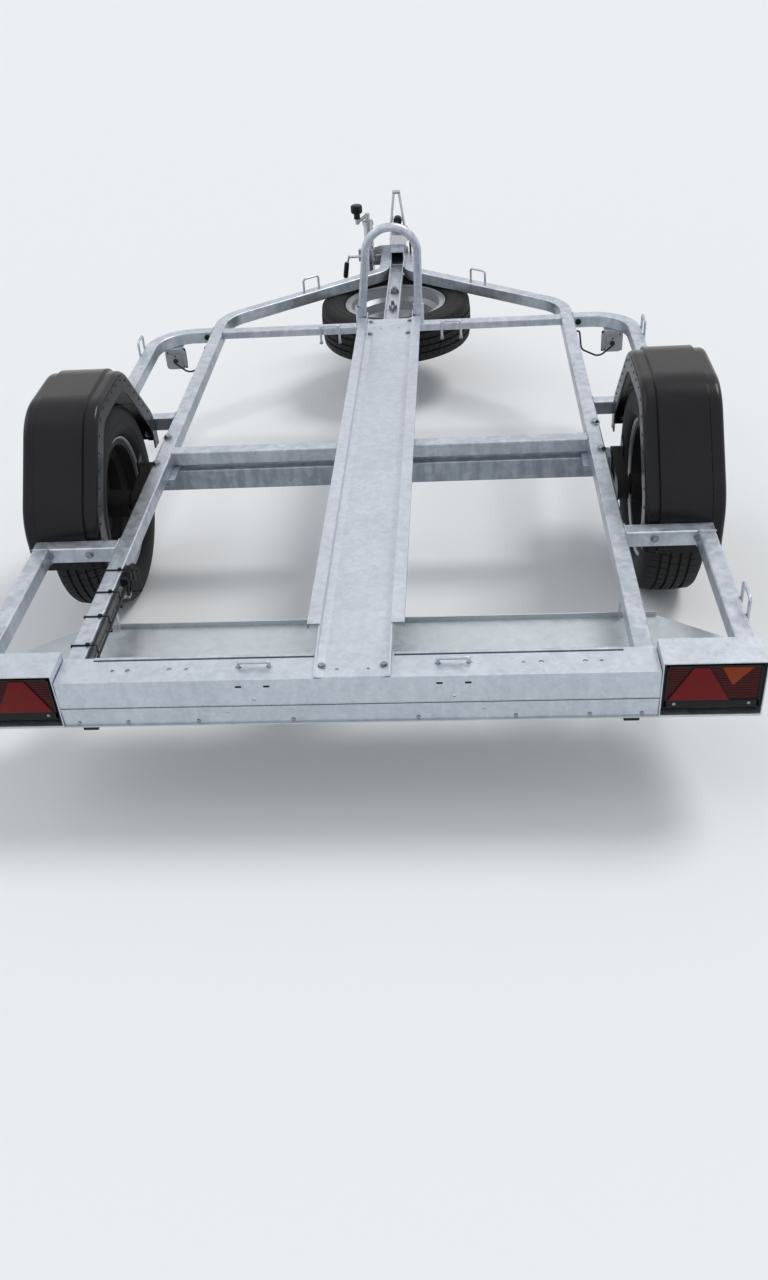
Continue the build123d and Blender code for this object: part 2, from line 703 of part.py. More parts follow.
def axle_pad():
    """Plate between the rail and the axle beam, with a web down to the beam each side."""
    x_range = (RAIL_OUTER - AXLE_PAD_WIDTH, RAIL_OUTER)
    half = AXLE_PAD_LENGTH / 2
    pad = span(x_range, (AXLE_Y - half, AXLE_Y + half), (AXLE_TOP, FRAME_BOTTOM))
    for side in (-1, 1):
        face_y = AXLE_Y + side * AXLE_BEAM / 2
        web = [(face_y, AXLE_TOP), (AXLE_Y + side * half, AXLE_TOP), (face_y, AXLE_TOP - AXLE_WEB_DEPTH)]
        pad += profile_x(web, (RAIL_X - SHEET, RAIL_X + SHEET))
    return pad


def swing_arm():
    """Trailing arm with a pocket and a bump fin, its pivot shaft and the stub axle."""
    start = Vector(AXLE_Y, AXLE_Z)
    end = Vector(WHEEL_Y, TYRE_R)
    angle = math.atan2(end.Y - start.Y, end.X - start.X)
    across = Vector(-math.sin(angle), math.cos(angle))
    middle = (start + end) * 0.5
    plane = Plane(origin=(ARM_IN, 0, 0), x_dir=(0, 1, 0), z_dir=(1, 0, 0))
    flank = Polygon(
        (start.X + across.X * ARM_PIVOT_R, start.Y + across.Y * ARM_PIVOT_R),
        (end.X + across.X * ARM_HUB_R, end.Y + across.Y * ARM_HUB_R),
        (end.X - across.X * ARM_HUB_R, end.Y - across.Y * ARM_HUB_R),
        (start.X - across.X * ARM_PIVOT_R, start.Y - across.Y * ARM_PIVOT_R),
        align=None,
    )
    outline = flank + Pos(start.X, start.Y) * Circle(ARM_PIVOT_R) + Pos(end.X, end.Y) * Circle(ARM_HUB_R)
    arm = extrude(plane * outline, amount=ARM_THICK, dir=(1, 0, 0))
    pocket = Pos(middle.X, middle.Y) * Rot(0, 0, math.degrees(angle))
    pocket = pocket * RectangleRounded(ARM_POCKET_LENGTH, ARM_POCKET_WIDTH, ARM_POCKET_WIDTH / 3)
    for offset in (0.0, ARM_THICK - ARM_POCKET_DEPTH):
        arm -= Pos(offset, 0, 0) * extrude(plane * pocket, amount=ARM_POCKET_DEPTH, dir=(1, 0, 0))
    fin_top = AXLE_Z + ARM_PIVOT_R + ARM_FIN_HEIGHT
    fin = [
        (AXLE_Y, AXLE_Z),
        (AXLE_Y, fin_top),
        (AXLE_Y - ARM_FIN_LENGTH, fin_top - ARM_FIN_HEIGHT / 3),
        (AXLE_Y - ARM_FIN_LENGTH, AXLE_Z),
    ]
    arm += profile_x(fin, (ARM_OUT - ARM_FIN, ARM_OUT))
    arm += rod((AXLE_HALF, AXLE_Y, AXLE_Z), (ARM_IN, AXLE_Y, AXLE_Z), ARM_SHAFT_R)
    return arm + along_wheel_axis(ARM_OUT, DISC_FACE - DISC_SHEET - HUB_FLANGE - SEAT_GAP, STUB_R)


# Mudguards
def guard_outline(inset):
    """Returns the mudguard's filled section, drawn in by the given distance, with round shoulders."""
    half = GUARD_WIDTH / 2 - inset
    crown = GUARD_WIDTH / 2 - GUARD_BAND - inset / 2
    low = -GUARD_SKIRT - inset
    right = [(crown - GUARD_STEP / 2, -inset), (crown, -GUARD_STEP - inset), (half, -GUARD_STEP - inset), (half, low)]
    left = [(-x, depth) for x, depth in reversed(right)]
    face = Polygon(*(right + left), align=None)
    shoulders = [corner for corner in face.vertices() if abs(corner.X) > crown + GUARD_STEP and corner.Y > low / 2]
    return fillet(shoulders, GUARD_EDGE_R - inset)


def mudguard():
    """Mudguard: a stepped shell with two skirts, swept over the wheel in flats and bends."""
    points = [
        (WHEEL_X, GUARD_REAR_Y, GUARD_REAR_LOW),
        (WHEEL_X, GUARD_REAR_Y, GUARD_REAR_HIGH),
        (WHEEL_X, GUARD_TOP_REAR_Y, GUARD_TOP),
        (WHEEL_X, GUARD_TOP_FRONT_Y, GUARD_TOP),
        (WHEEL_X, GUARD_FRONT_Y, GUARD_FRONT_HIGH),
        (WHEEL_X, GUARD_FRONT_Y, GUARD_FRONT_LOW),
    ]
    section = mirror(guard_outline(0.0) - guard_outline(GUARD_WALL), about=Plane.XZ)
    plane = Plane(origin=points[0], x_dir=(1, 0, 0), z_dir=(0, 0, 1))
    return sweep(plane * section, FilletPolyline(*points, radius=GUARD_BEND_R))


# Centre beam and spare wheel
def drawbar_beam():
    """Open channel from the front tube to the box under the coupling."""
    half = BEAM_WIDTH / 2
    outside = span((-half, half), (FRONT_CROSS_FACE, NOSE_BOX_REAR), (BEAM_UNDER, FRAME_TOP))
    inside = span((-half + SHEET, half - SHEET), (FRONT_CROSS_FACE - SHEET, NOSE_BOX_REAR + SHEET),
                  (BEAM_UNDER + SHEET, FRAME_TOP + SHEET))
    bore = rod((0, SPARE_Y, SPARE_Z), (0, SPARE_Y, FRAME_TOP), HOLDER_ROD_R + SEAT_GAP)
    return outside - inside - bore


def nut(place_z):
    """Returns a nut round the spare's rod, standing on the given height."""
    return Pos(0, SPARE_Y, place_z) * extrude(RegularPolygon(NUT_R, 6), amount=NUT_HEIGHT)


def spare_holder():
    """Threaded rod through the beam and the spare's disc, with a plate and nuts."""
    seat = SPARE_Z - DISC_OFFSET
    low = seat - HOLDER_PLATE
    floor = BEAM_UNDER + SHEET
    holder = rod((0, SPARE_Y, low - HOLDER_ROD_END), (0, SPARE_Y, floor + HOLDER_ROD_END), HOLDER_ROD_R)
    holder += rod((0, SPARE_Y, low), (0, SPARE_Y, seat), HOLDER_PLATE_R)
    return holder + nut(floor) + nut(low - NUT_HEIGHT)


def beam_clip():
    """Bolt with a bent clip on the centre beam's floor."""
    floor = BEAM_UNDER + SHEET
    head = Pos(0, CLIP_Y, floor) * extrude(RegularPolygon(NUT_R, 6), amount=NUT_HEIGHT)
    post = rod((0, CLIP_Y, floor), (0, CLIP_Y, floor + CLIP_HEIGHT), HOLDER_ROD_R * 0.75)
    height = floor + NUT_HEIGHT + LOOP_ROD_R / 2
    line = [(0, CLIP_Y, height), (0, CLIP_Y - CLIP_HEIGHT, height), (0, CLIP_Y - CLIP_HEIGHT, floor + LOOP_ROD_R)]
    return head + post + pipe(line, LOOP_ROD_R * 2, LOOP_ROD_R)


# Coupling
def nose_box():
    """Square tube between the drawbar's ends, open to the rear."""
    half = NOSE_BOX / 2
    low = NOSE_BOX_TOP - NOSE_BOX
    outside = span((-half, half), (NOSE_BOX_REAR, NOSE_BOX_FRONT), (low, NOSE_BOX_TOP))
    inside = span((-half + TUBE_WALL, half - TUBE_WALL), (NOSE_BOX_REAR - SHEET, NOSE_BOX_FRONT + SHEET),
                  (low + TUBE_WALL, NOSE_BOX_TOP - TUBE_WALL))
    return outside - inside


def coupling_head():
    """Pressed coupling: a sleeve over the box, a raised body and the ball cup."""
    half = COUPLING_HALF
    flat = NOSE_BOX_TOP + COUPLING_SHEET
    side = [
        (COUPLING_REAR, FRAME_TOP),
        (DRAWBAR_END_Y, FRAME_TOP),
        (DRAWBAR_END_Y, COUPLING_LOW),
        (BALL_Y, COUPLING_LOW),
        (BALL_Y, COUPLING_TOP),
        (COUPLING_REAR + COUPLING_RISE, COUPLING_TOP),
        (COUPLING_REAR + COUPLING_RISE / 2, flat),
        (COUPLING_REAR, flat),
    ]
    body = profile_x(side, (-half, half))
    body = fillet(body.edges().filter_by(Axis.Y).sort_by(Axis.Z)[-2:], COUPLING_CORNER)
    inside = half - COUPLING_SHEET
    body -= span((-inside, inside), (COUPLING_REAR - SHEET, NOSE_BOX_FRONT), (FRAME_BOTTOM, NOSE_BOX_TOP))
    body -= span((-inside, inside), (NOSE_BOX_FRONT - SHEET, BALL_Y - SOCKET_R),
                 (FRAME_BOTTOM, COUPLING_TOP - COUPLING_SHEET))
    low = BALL_Z - SOCKET_SKIRT
    dome = Pos(0, BALL_Y, BALL_Z) * Sphere(SOCKET_R)
    wide = (-2 * SOCKET_R, 2 * SOCKET_R)
    above = span(wide, (COUPLING_REAR, BALL_Y + 2 * SOCKET_R), (BALL_Z, COUPLING_TOP + SOCKET_R))
    shell = body + (dome & above) + rod((0, BALL_Y, low), (0, BALL_Y, BALL_Z), SOCKET_R)
    shell -= span((-half, half), (BALL_Y - SOCKET_R, BALL_Y + SOCKET_R), (FRAME_BOTTOM, low))
    ball = BALL_R + BALL_CLEAR
    shell -= Pos(0, BALL_Y, BALL_Z) * Sphere(ball)
    return shell - rod((0, BALL_Y, FRAME_BOTTOM), (0, BALL_Y, BALL_Z), ball)


def coupling_handle():
    """Raised lever: two legs from the pivot that lean together, and a cross grip."""
    height = HANDLE_HEIGHT
    lever = rod((-HANDLE_HALF, 0, 0), (HANDLE_HALF, 0, 0), HANDLE_PIVOT_R)
    for side in (-1, 1):
        foot = (side * (HANDLE_HALF - HANDLE_ROD_R), 0, 0)
        tip = (side * HANDLE_TIP_HALF, HANDLE_LEAN, height)
        lever += rod(foot, tip, HANDLE_ROD_R)
    lever += rod((-HANDLE_TIP_HALF - HANDLE_ROD_R, HANDLE_LEAN, height),
                 (HANDLE_TIP_HALF + HANDLE_ROD_R, HANDLE_LEAN, height), HANDLE_ROD_R * 1.5)
    return Pos(0, HANDLE_PIVOT_Y, HANDLE_PIVOT_Z) * lever


def parked_plug():
    """Lighting plug that rests on the lever's pivot, with a narrower neck."""
    rear = PLUG_Y - PLUG_LENGTH / 2
    front = PLUG_Y + PLUG_LENGTH / 2
    neck = rear + PLUG_LENGTH / 3
    plug = rod((0, neck, PLUG_Z), (0, front, PLUG_Z), PLUG_R)
    return plug + rod((0, rear, PLUG_Z), (0, neck, PLUG_Z), PLUG_R * 0.7)


# Jockey wheel
def on_jockey(low, high, radius, back=0.0):
    """Returns an upright round bar on the jockey's axis or a little behind it."""
    return rod((JOCKEY_X, JOCKEY_Y - back, low), (JOCKEY_X, JOCKEY_Y - back, high), radius)


def jockey_tube():
    """Outer tube in the clamp, with its cap and collar."""
    tube = on_jockey(JOCKEY_TUBE_LOW, JOCKEY_TUBE_HIGH, JOCKEY_TUBE_R)
    tube += on_jockey(JOCKEY_TUBE_HIGH - JOCKEY_COLLAR, JOCKEY_TUBE_HIGH, JOCKEY_COLLAR_R)
    return tube - on_jockey(JOCKEY_TUBE_LOW - SHEET, JOCKEY_TUBE_HIGH - JOCKEY_CAP, JOCKEY_BORE_R)


def jockey_crank():
    """Crank on the tube's top: spindle, sloping arm and the boss under the knob."""
    top = JOCKEY_TUBE_HIGH + CRANK_RISE
    crank = on_jockey(JOCKEY_TUBE_HIGH, top, CRANK_ROD_R * 1.5)
    crank += rod((JOCKEY_X, JOCKEY_Y, top - CRANK_ROD_R), (KNOB_X, JOCKEY_Y, KNOB_LOW - CRANK_BOSS + CRANK_ROD_R),
                 CRANK_ROD_R)
    return crank + rod((KNOB_X, JOCKEY_Y, KNOB_LOW - CRANK_BOSS), (KNOB_X, JOCKEY_Y, KNOB_LOW), CRANK_ROD_R * 1.4)


def jockey_knob():
    """Mushroom knob that stands on the crank's end."""
    neck = KNOB_LOW + KNOB_STEM
    stem = rod((KNOB_X, JOCKEY_Y, KNOB_LOW), (KNOB_X, JOCKEY_Y, neck), KNOB_STEM_R)
    head = rod((KNOB_X, JOCKEY_Y, neck), (KNOB_X, JOCKEY_Y, neck + KNOB_HEIGHT), KNOB_R)
    head = fillet(head.edges().filter_by(GeomType.CIRCLE), KNOB_ROUND)
    return stem + head


def jockey_clamp():
    """Split clamp on the drawbar's left end, with its screw and bracket plate."""
    low = CLAMP_Z - CLAMP_HEIGHT / 2
    high = CLAMP_Z + CLAMP_HEIGHT / 2
    clamp = on_jockey(low, high, CLAMP_R)
    bridge = (JOCKEY_Y - CLAMP_BRIDGE_HALF, JOCKEY_Y + CLAMP_BRIDGE_HALF)
    clamp += span((JOCKEY_X, -NECK_OUTER), bridge, (FRAME_BOTTOM + SHEET, FRAME_TOP))
    ear = JOCKEY_X - JOCKEY_TUBE_R - CLAMP_EAR
    clamp += span((ear, JOCKEY_X), (JOCKEY_Y - CLAMP_EAR_HALF, JOCKEY_Y + CLAMP_EAR_HALF), (low, high))
    box_side = -NOSE_BOX / 2
    plate = [
        (JOCKEY_X, FRAME_TOP),
        (box_side, FRAME_TOP),
        (box_side, NOSE_BOX_TOP),
        (BRACKET_RIGHT, NOSE_BOX_TOP),
        (BRACKET_RIGHT, BRACKET_TOP),
        (-NECK_OUTER, BRACKET_TOP),
        (JOCKEY_X, high),
    ]
    clamp += profile_y(plate, (JOCKEY_Y - BRACKET, JOCKEY_Y))
    clamp -= on_jockey(FRAME_BOTTOM, high + BRACKET_TOP, JOCKEY_TUBE_R)
    clamp -= span((ear - SHEET, JOCKEY_X), (JOCKEY_Y - CLAMP_SLOT_HALF, JOCKEY_Y + CLAMP_SLOT_HALF),
                  (low - SHEET, BRACKET_TOP + SHEET))
    near = LEVER_SET_BACK - LEVER_ROD_R
    return clamp + rod((CLAMP_BOLT_X, JOCKEY_Y - near, CLAMP_Z),
                       (CLAMP_BOLT_X, JOCKEY_Y + LEVER_SET_BACK + LEVER_ROD_R, CLAMP_Z), CLAMP_BOLT_R)


def clamp_lever():
    """Bent lever of the clamp: a level rod, a fall and a grip."""
    y = JOCKEY_Y - LEVER_SET_BACK
    elbow = CLAMP_BOLT_X - LEVER_REACH
    low_x = elbow - LEVER_SPREAD
    low_z = CLAMP_Z - LEVER_DROP
    lever = rod((CLAMP_BOLT_X + LEVER_ROD_R, y, CLAMP_Z), (elbow, y, CLAMP_Z), LEVER_ROD_R)
    lever += rod((elbow, y, CLAMP_Z + LEVER_ROD_R), (low_x, y, low_z), LEVER_ROD_R)
    return lever + rod((low_x, y, low_z), (low_x - LEVER_GRIP_SPREAD, y, low_z - LEVER_GRIP), LEVER_GRIP_R)


def jockey_leg():
    """Inner tube that slides in the outer one."""
    return on_jockey(JOCKEY_INNER_LOW, JOCKEY_INNER_HIGH, JOCKEY_BORE_R - SEAT_GAP)


def jockey_fork():
    """Swivelling fork with a crown, two cheeks and the axle."""
    axle_y = JOCKEY_Y - JOCKEY_TRAIL
    reach = (JOCKEY_Y - FORK_REACH, JOCKEY_Y + FORK_REACH)
    fork = span((JOCKEY_X - FORK_HALF, JOCKEY_X + FORK_HALF), reach, (FORK_TOP - FORK_CROWN, FORK_TOP))
    fork += on_jockey(FORK_TOP, JOCKEY_INNER_LOW - SEAT_GAP, FORK_BOSS_R)
    foot = JOCKEY_WHEEL_R - FORK_FOOT
    cheek = [
        (reach[0], FORK_TOP),
        (reach[1], FORK_TOP),
        (reach[1], FORK_TOP - FORK_REACH),
        (axle_y + FORK_FOOT, foot),
        (axle_y - FORK_FOOT, foot),
        (axle_y - FORK_BOSS_R, JOCKEY_WHEEL_R + FORK_FOOT),
    ]
    for low in (JOCKEY_X - FORK_HALF, JOCKEY_X + FORK_HALF - FORK_SHEET):
        fork += profile_x(cheek, (low, low + FORK_SHEET))
    end = FORK_HALF + JOCKEY_AXLE_END
    return fork + rod((JOCKEY_X - end, axle_y, JOCKEY_WHEEL_R), (JOCKEY_X + end, axle_y, JOCKEY_WHEEL_R),
                      JOCKEY_AXLE_R)


def jockey_wheel():
    """Small solid wheel with a dished face."""
    half = JOCKEY_WHEEL_HALF
    tread = JOCKEY_WHEEL_R - 7.0
    rows = [
        (half, JOCKEY_AXLE_R + SEAT_GAP),
        (half, JOCKEY_HUB_R),
        (half - JOCKEY_DISH, JOCKEY_HUB_R + 6.0),
        (half - JOCKEY_DISH, tread - 21.0),
        (half * 0.9, tread - 15.0),
        (half * 0.9, tread),
        (half * 0.5, JOCKEY_WHEEL_R),
    ]
    wheel = turned(rows + [(-x, r) for x, r in reversed(rows)])
    return Pos(JOCKEY_X, JOCKEY_Y - JOCKEY_TRAIL, JOCKEY_WHEEL_R) * wheel


# Lashing loops
DRAWBAR_SLOPE = DRAWBAR_RUN / (RAIL_X - NECK_X)
DRAWBAR_TURN = -math.degrees(math.atan(DRAWBAR_SLOPE))
LOOP_DRAWBAR_Y = KNEE_Y + (RAIL_X - LOOP_DRAWBAR_X) * DRAWBAR_SLOPE
SIDE_LOOP_X = SIDE_BAR_OUTER + LOOP_ROD_R

# Right-side loops: X, Y, foot height, turn about Z, height
LOOPS = (
    (LOOP_INNER_X, LOOP_BEAM_Y, LOOP_FOOT, 0.0, LOOP_LOW_HEIGHT),
    (LOOP_INNER_X, FRONT_CROSS_Y, LOOP_FOOT, 0.0, LOOP_LOW_HEIGHT),
    (LOOP_DRAWBAR_X, LOOP_DRAWBAR_Y, LOOP_FOOT, DRAWBAR_TURN, LOOP_TALL_HEIGHT),
    (SIDE_LOOP_X, LOOP_REAR_Y, LOOP_SIDE_FOOT, 90.0, LOOP_SIDE_HEIGHT),
    (SIDE_LOOP_X, LOOP_FRONT_Y, LOOP_SIDE_FOOT, 90.0, LOOP_SIDE_HEIGHT),
)


def staple(height):
    """Returns an upright U of round rod with its feet on the origin."""
    half = LOOP_WIDTH / 2
    foot = -LOOP_ROD_R / 4
    line = [(-half, 0, foot), (-half, 0, height), (half, 0, height), (half, 0, foot)]
    return pipe(line, LOOP_ROD_R * LOOP_BEND, LOOP_ROD_R)


def lashing_loops():
    """All rod loops on the frame, as separate solids."""
    loops = []
    for side in (-1, 1):
        for x, y, z, turn, height in LOOPS:
            loops.append(Pos(side * x, y, z) * Rot(0, 0, side * turn) * staple(height))
    return Compound(children=loops)


# Marker lamps
MARKER_TOP = FRAME_BOTTOM - MARKER_TAB


def marker_lamp():
    """Front marker lamp, facing forwards under the corner bar."""
    half = MARKER_WIDTH / 2
    block = span((MARKER_X - half, MARKER_X + half), (MARKER_Y - MARKER_DEPTH / 2, MARKER_Y + MARKER_DEPTH / 2),
                 (MARKER_TOP - MARKER_HEIGHT, MARKER_TOP))
    return fillet(block.edges().filter_by(Axis.Y), MARKER_CORNER)


def marker_tab():
    """Flat tab between the corner bar and the marker lamp."""
    y_range = (MARKER_Y - MARKER_TAB_REAR, CORNER_BAR_Y)
    return span((MARKER_X - MARKER_TAB_HALF, MARKER_X + MARKER_TAB_HALF), y_range, (MARKER_TOP, FRAME_BOTTOM))


# Wiring. Routes are X, Y, Z points, and the arcs between runs have the radii beside them
MARKER_BACK = MARKER_Y - MARKER_DEPTH / 2
MARKER_CABLE_Y = MARKER_BACK - 20.0
MARKER_CABLE = (
    (MARKER_X, MARKER_BACK, MARKER_TOP - MARKER_HEIGHT * 0.55),
    (MARKER_X, MARKER_CABLE_Y, MARKER_TOP - MARKER_HEIGHT * 0.55),
    (MARKER_X - 44.0, MARKER_CABLE_Y, MARKER_TOP - MARKER_HEIGHT - 8.0),
    (RAIL_OUTER + 24.0, MARKER_CABLE_Y, FRAME_BOTTOM - 50.0),
    (RAIL_OUTER + 16.0, MARKER_CABLE_Y, FRAME_BOTTOM + TUBE / 3),
    (RAIL_OUTER, MARKER_CABLE_Y, FRAME_BOTTOM + TUBE / 3),
)
MARKER_CABLE_RADII = (9.0, 30.0, 24.0, 8.0)
CONDUIT = (
    (CONDUIT_X, JUNCTION_REAR, CONDUIT_Z),
    (CONDUIT_X, BEAM_FLANGE + 14.0, CONDUIT_Z),
    (CONDUIT_X + 8.0, BEAM_FLANGE - 40.0, CONDUIT_Z - 22.0),
)
CONDUIT_RADIUS = 60.0
PLUG_CABLE_X = NECK_X + 4.0
PLUG_CABLE_Y = COUPLING_REAR + 4.0
PLUG_CABLE = (
    (0.0, PLUG_Y - PLUG_LENGTH / 2, PLUG_Z),
    (0.0, PLUG_Y - PLUG_LENGTH / 2 - 28.0, PLUG_Z),
    (PLUG_CABLE_X - 11.0, PLUG_CABLE_Y + 10.0, PLUG_Z - 24.0),
    (PLUG_CABLE_X, PLUG_CABLE_Y, FRAME_TOP + 42.0),
    (PLUG_CABLE_X, PLUG_CABLE_Y, FRAME_TOP),
)
PLUG_CABLE_RADII = (18.0, 20.0, 24.0)


def marker_cable():
    """Cable from a marker lamp, sagging, to the rail's outer face."""
    return pipe(MARKER_CABLE, MARKER_CABLE_RADII, CABLE_R)


def rail_wiring():
    """Conduit and two cables along the left rail's inner face into the beam."""
    pieces = [pipe(CONDUIT, CONDUIT_RADIUS, CONDUIT_R)]
    below = CONDUIT_Z - CONDUIT_R - CABLE_R - SEAT_GAP
    x = -(RAIL_INNER - CABLE_R - SEAT_GAP)
    rear = BEAM_FLANGE - 36.0
    for drop in (0.0, 2 * CABLE_R + SEAT_GAP):
        pieces.append(rod((x, JUNCTION_REAR, below - drop), (x, rear, below - drop), CABLE_R))
    return Compound(children=pieces)


def junction():
    """Black connector box on the left rail's inner face."""
    x_range = (-RAIL_INNER, -RAIL_INNER + JUNCTION_DEPTH)
    box = span(x_range, (JUNCTION_REAR, JUNCTION_REAR + JUNCTION_LENGTH),
               (JUNCTION_TOP - JUNCTION_HEIGHT, JUNCTION_TOP))
    return fillet(box.edges().filter_by(Axis.Y), JUNCTION_CORNER)


def tie(y, inner_x, low):
    """Flat cable tie round the left rail and what lies on its inner face."""
    y_range = (y - TIE_WIDTH / 2, y + TIE_WIDTH / 2)
    x_range = (-RAIL_OUTER - TIE_CLEAR, inner_x)
    z_range = (low, FRAME_TOP + TIE_CLEAR)
    wall = TIE_THICK
    outside = span((x_range[0] - wall, x_range[1] + wall), y_range, (z_range[0] - wall, z_range[1] + wall))
    return outside - span(x_range, (y - TIE_WIDTH, y + TIE_WIDTH), z_range)


def cable_ties():
    """The ties on the left rail: three on the conduit and one on the connector box."""
    low = FRAME_BOTTOM - TIE_CLEAR
    inner = CONDUIT_X + CONDUIT_R + TIE_CLEAR
    ties = [tie(y, inner, low) for y in TIES_Y]
    box_inner = -RAIL_INNER + JUNCTION_DEPTH + TIE_CLEAR
    ties.append(tie(TIE_JUNCTION_Y, box_inner, JUNCTION_TOP - JUNCTION_HEIGHT - TIE_CLEAR))
    return Compound(children=ties)


def rubber_foot():
    """Rubber foot under the shelf's rear edge."""
    half = FOOT_WIDTH / 2
    y_range = (FOOT_REAR, FOOT_REAR + FOOT_DEPTH)
    return span((FOOT_X - half, FOOT_X + half), y_range, (TRAY_LOW - FOOT_HEIGHT, TRAY_LOW))


def pair(name, solid):
    """Returns the right piece and its mirror image under their names."""
    return {name + "_right": solid, name + "_left": other_side(solid)}


def build():
    """Returns every piece of the trailer by name."""
    nodes = {}
    nodes.update(pair("side_rail", side_rail()))
    nodes["rear_beam"] = rear_beam()
    nodes["rear_shelf"] = rear_shelf()
    nodes["shelf_straps"] = both(shelf_strap())
    nodes["lamp_boxes"] = both(lamp_box())
    lamp_body, lamp_lens = tail_lamp()
    nodes["tail_lamp_bodies"] = both(lamp_body)
    nodes["tail_lamp_lenses"] = both(lamp_lens)
    nodes["front_crossmember"] = cross_tube(FRONT_CROSS_Y, FRONT_CROSS_HEIGHT)
    nodes["mid_crossmember"] = cross_tube(MID_CROSS_Y, TUBE)
    nodes["outriggers"] = both(outrigger(OUTRIGGER_REAR_Y), outrigger(OUTRIGGER_FRONT_Y))
    nodes["side_bars_rear"] = both(side_bar_rear())
    nodes.update(pair("side_bar_front", side_bar_front()))
    nodes["wheel_channel"] = wheel_channel()
    nodes["hoop"] = hoop()
    nodes["hoop_sleeves"] = both(hoop_sleeve())
    nodes["drawbar_beam"] = drawbar_beam()
    nodes["beam_clip"] = beam_clip()
    nodes["nose_box"] = nose_box()
    nodes["coupling_head"] = coupling_head()
    nodes["coupling_handle"] = coupling_handle()
    nodes["parked_plug"] = parked_plug()
    nodes["axle_beam"] = axle_beam()
    nodes["axle_pads"] = both(axle_pad())
    nodes.update(pair("swing_arm", swing_arm()))
    nodes.update(pair("hub", hub()))
    wheel_rim = rim()
    wheel_tyre = tyre()
    nodes.update(pair("rim", road_place() * wheel_rim))
    nodes.update(pair("tyre", road_place() * wheel_tyre))
    nodes.update(pair("mudguard", mudguard()))
    nodes["spare_rim"] = spare_place() * wheel_rim
    nodes["spare_tyre"] = spare_place() * wheel_tyre
    nodes["spare_holder"] = spare_holder()
    nodes["jockey_clamp"] = jockey_clamp()
    nodes["jockey_clamp_lever"] = clamp_lever()
    nodes["jockey_tube"] = jockey_tube()
    nodes["jockey_crank"] = jockey_crank()
    nodes["jockey_knob"] = jockey_knob()
    nodes["jockey_leg"] = jockey_leg()
    nodes["jockey_fork"] = jockey_fork()
    nodes["jockey_wheel"] = jockey_wheel()
    nodes["lashing_loops"] = lashing_loops()
    nodes["marker_lamps"] = both(marker_lamp())
    nodes["marker_tabs"] = both(marker_tab())
    nodes["marker_cables"] = both(marker_cable())
    nodes["plug_cable"] = pipe(PLUG_CABLE, PLUG_CABLE_RADII, PLUG_CABLE_R)
    nodes["rail_wiring"] = rail_wiring()
    nodes["junction"] = junction()
    nodes["cable_ties"] = cable_ties()
    nodes["rubber_feet"] = both(rubber_foot())
    return nodes


os.makedirs("parts", exist_ok=True)
for node_name, piece in build().items():
    placed = Pos(0, -NOSE_Y / 2, 0) * piece
    export_step(placed, f"parts/{node_name}.step")
    print(node_name, round(placed.volume / 1000.0, 1), "cm3")
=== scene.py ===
"""Looks of a galvanised motorcycle trailer: finishes, small hardware, tyres, lamps and wiring on its fixed solids."""

import logging
import math
from dataclasses import dataclass
from enum import Enum
from typing import Iterable, Sequence

import bmesh
import bpy
from mathutils import Euler, Matrix, Vector


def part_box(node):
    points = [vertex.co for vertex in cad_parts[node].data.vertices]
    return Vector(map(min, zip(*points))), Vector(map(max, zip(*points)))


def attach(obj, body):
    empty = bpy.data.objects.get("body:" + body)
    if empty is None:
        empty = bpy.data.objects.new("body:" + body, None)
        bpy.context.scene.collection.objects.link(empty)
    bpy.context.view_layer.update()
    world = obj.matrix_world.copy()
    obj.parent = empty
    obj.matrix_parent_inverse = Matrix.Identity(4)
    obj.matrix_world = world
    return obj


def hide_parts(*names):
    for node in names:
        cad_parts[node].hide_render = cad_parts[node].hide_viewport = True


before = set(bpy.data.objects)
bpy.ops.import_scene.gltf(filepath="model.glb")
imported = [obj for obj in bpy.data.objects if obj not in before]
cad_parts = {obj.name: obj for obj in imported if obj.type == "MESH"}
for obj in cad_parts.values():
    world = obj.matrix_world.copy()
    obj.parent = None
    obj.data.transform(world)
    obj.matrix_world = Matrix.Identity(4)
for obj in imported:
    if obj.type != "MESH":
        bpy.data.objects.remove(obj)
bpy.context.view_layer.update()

log = logging.getLogger("trailer")

Colour = tuple[float, float, float]
Pair = tuple[float, float]
Point = tuple[float, float, float]
Material = bpy.types.Material
Mesh = bpy.types.Mesh
Node = bpy.types.Node
Socket = bpy.types.NodeSocket
Tree = bpy.types.NodeTree

# Half the trailer's length: places along it are given from the tail, then moved to the middle
TAIL = 1.4242
BODY = "frame"
WHOLE_TURN = 2 * math.pi
MIRROR = Matrix.Scale(-1.0, 4, (1.0, 0.0, 0.0))
# Corners nearer to each other than this are one
SAME_PLACE = 1e-6
# A path that leans less than this from the vertical is upright
UPRIGHT = 0.01
# Faces that meet at a smaller angle than this, in degrees, blend into each other
SMOOTH_BELOW = 35.0


class Side(Enum):
    """Left or right side of the trailer, seen from behind."""

    RIGHT = 1
    LEFT = -1

    @property
    def tag(self) -> str:
        """Returns the word used in names."""
        return self.name.lower()


def both_sides(*names: str) -> list[str]:
    """Returns names with the words of both sides added."""
    return [f"{name}_{side.tag}" for name in names for side in Side]


def link(thing: bpy.types.Object) -> None:
    """Puts an object in the scene."""
    bpy.context.scene.collection.objects.link(thing)


@dataclass(frozen=True)
class Extent:
    """Box round a carried-over solid."""

    low: Vector
    high: Vector

    @classmethod
    def of(cls, node: str) -> "Extent":
        """Returns the box of a solid of the frame."""
        low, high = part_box(node)
        return cls(Vector(low), Vector(high))

    @property
    def centre(self) -> Vector:
        """Returns the middle of the box."""
        return (self.low + self.high) / 2


# Shader building

SOCKETS = {float: "NodeSocketFloat", int: "NodeSocketInt", tuple: "NodeSocketColor"}


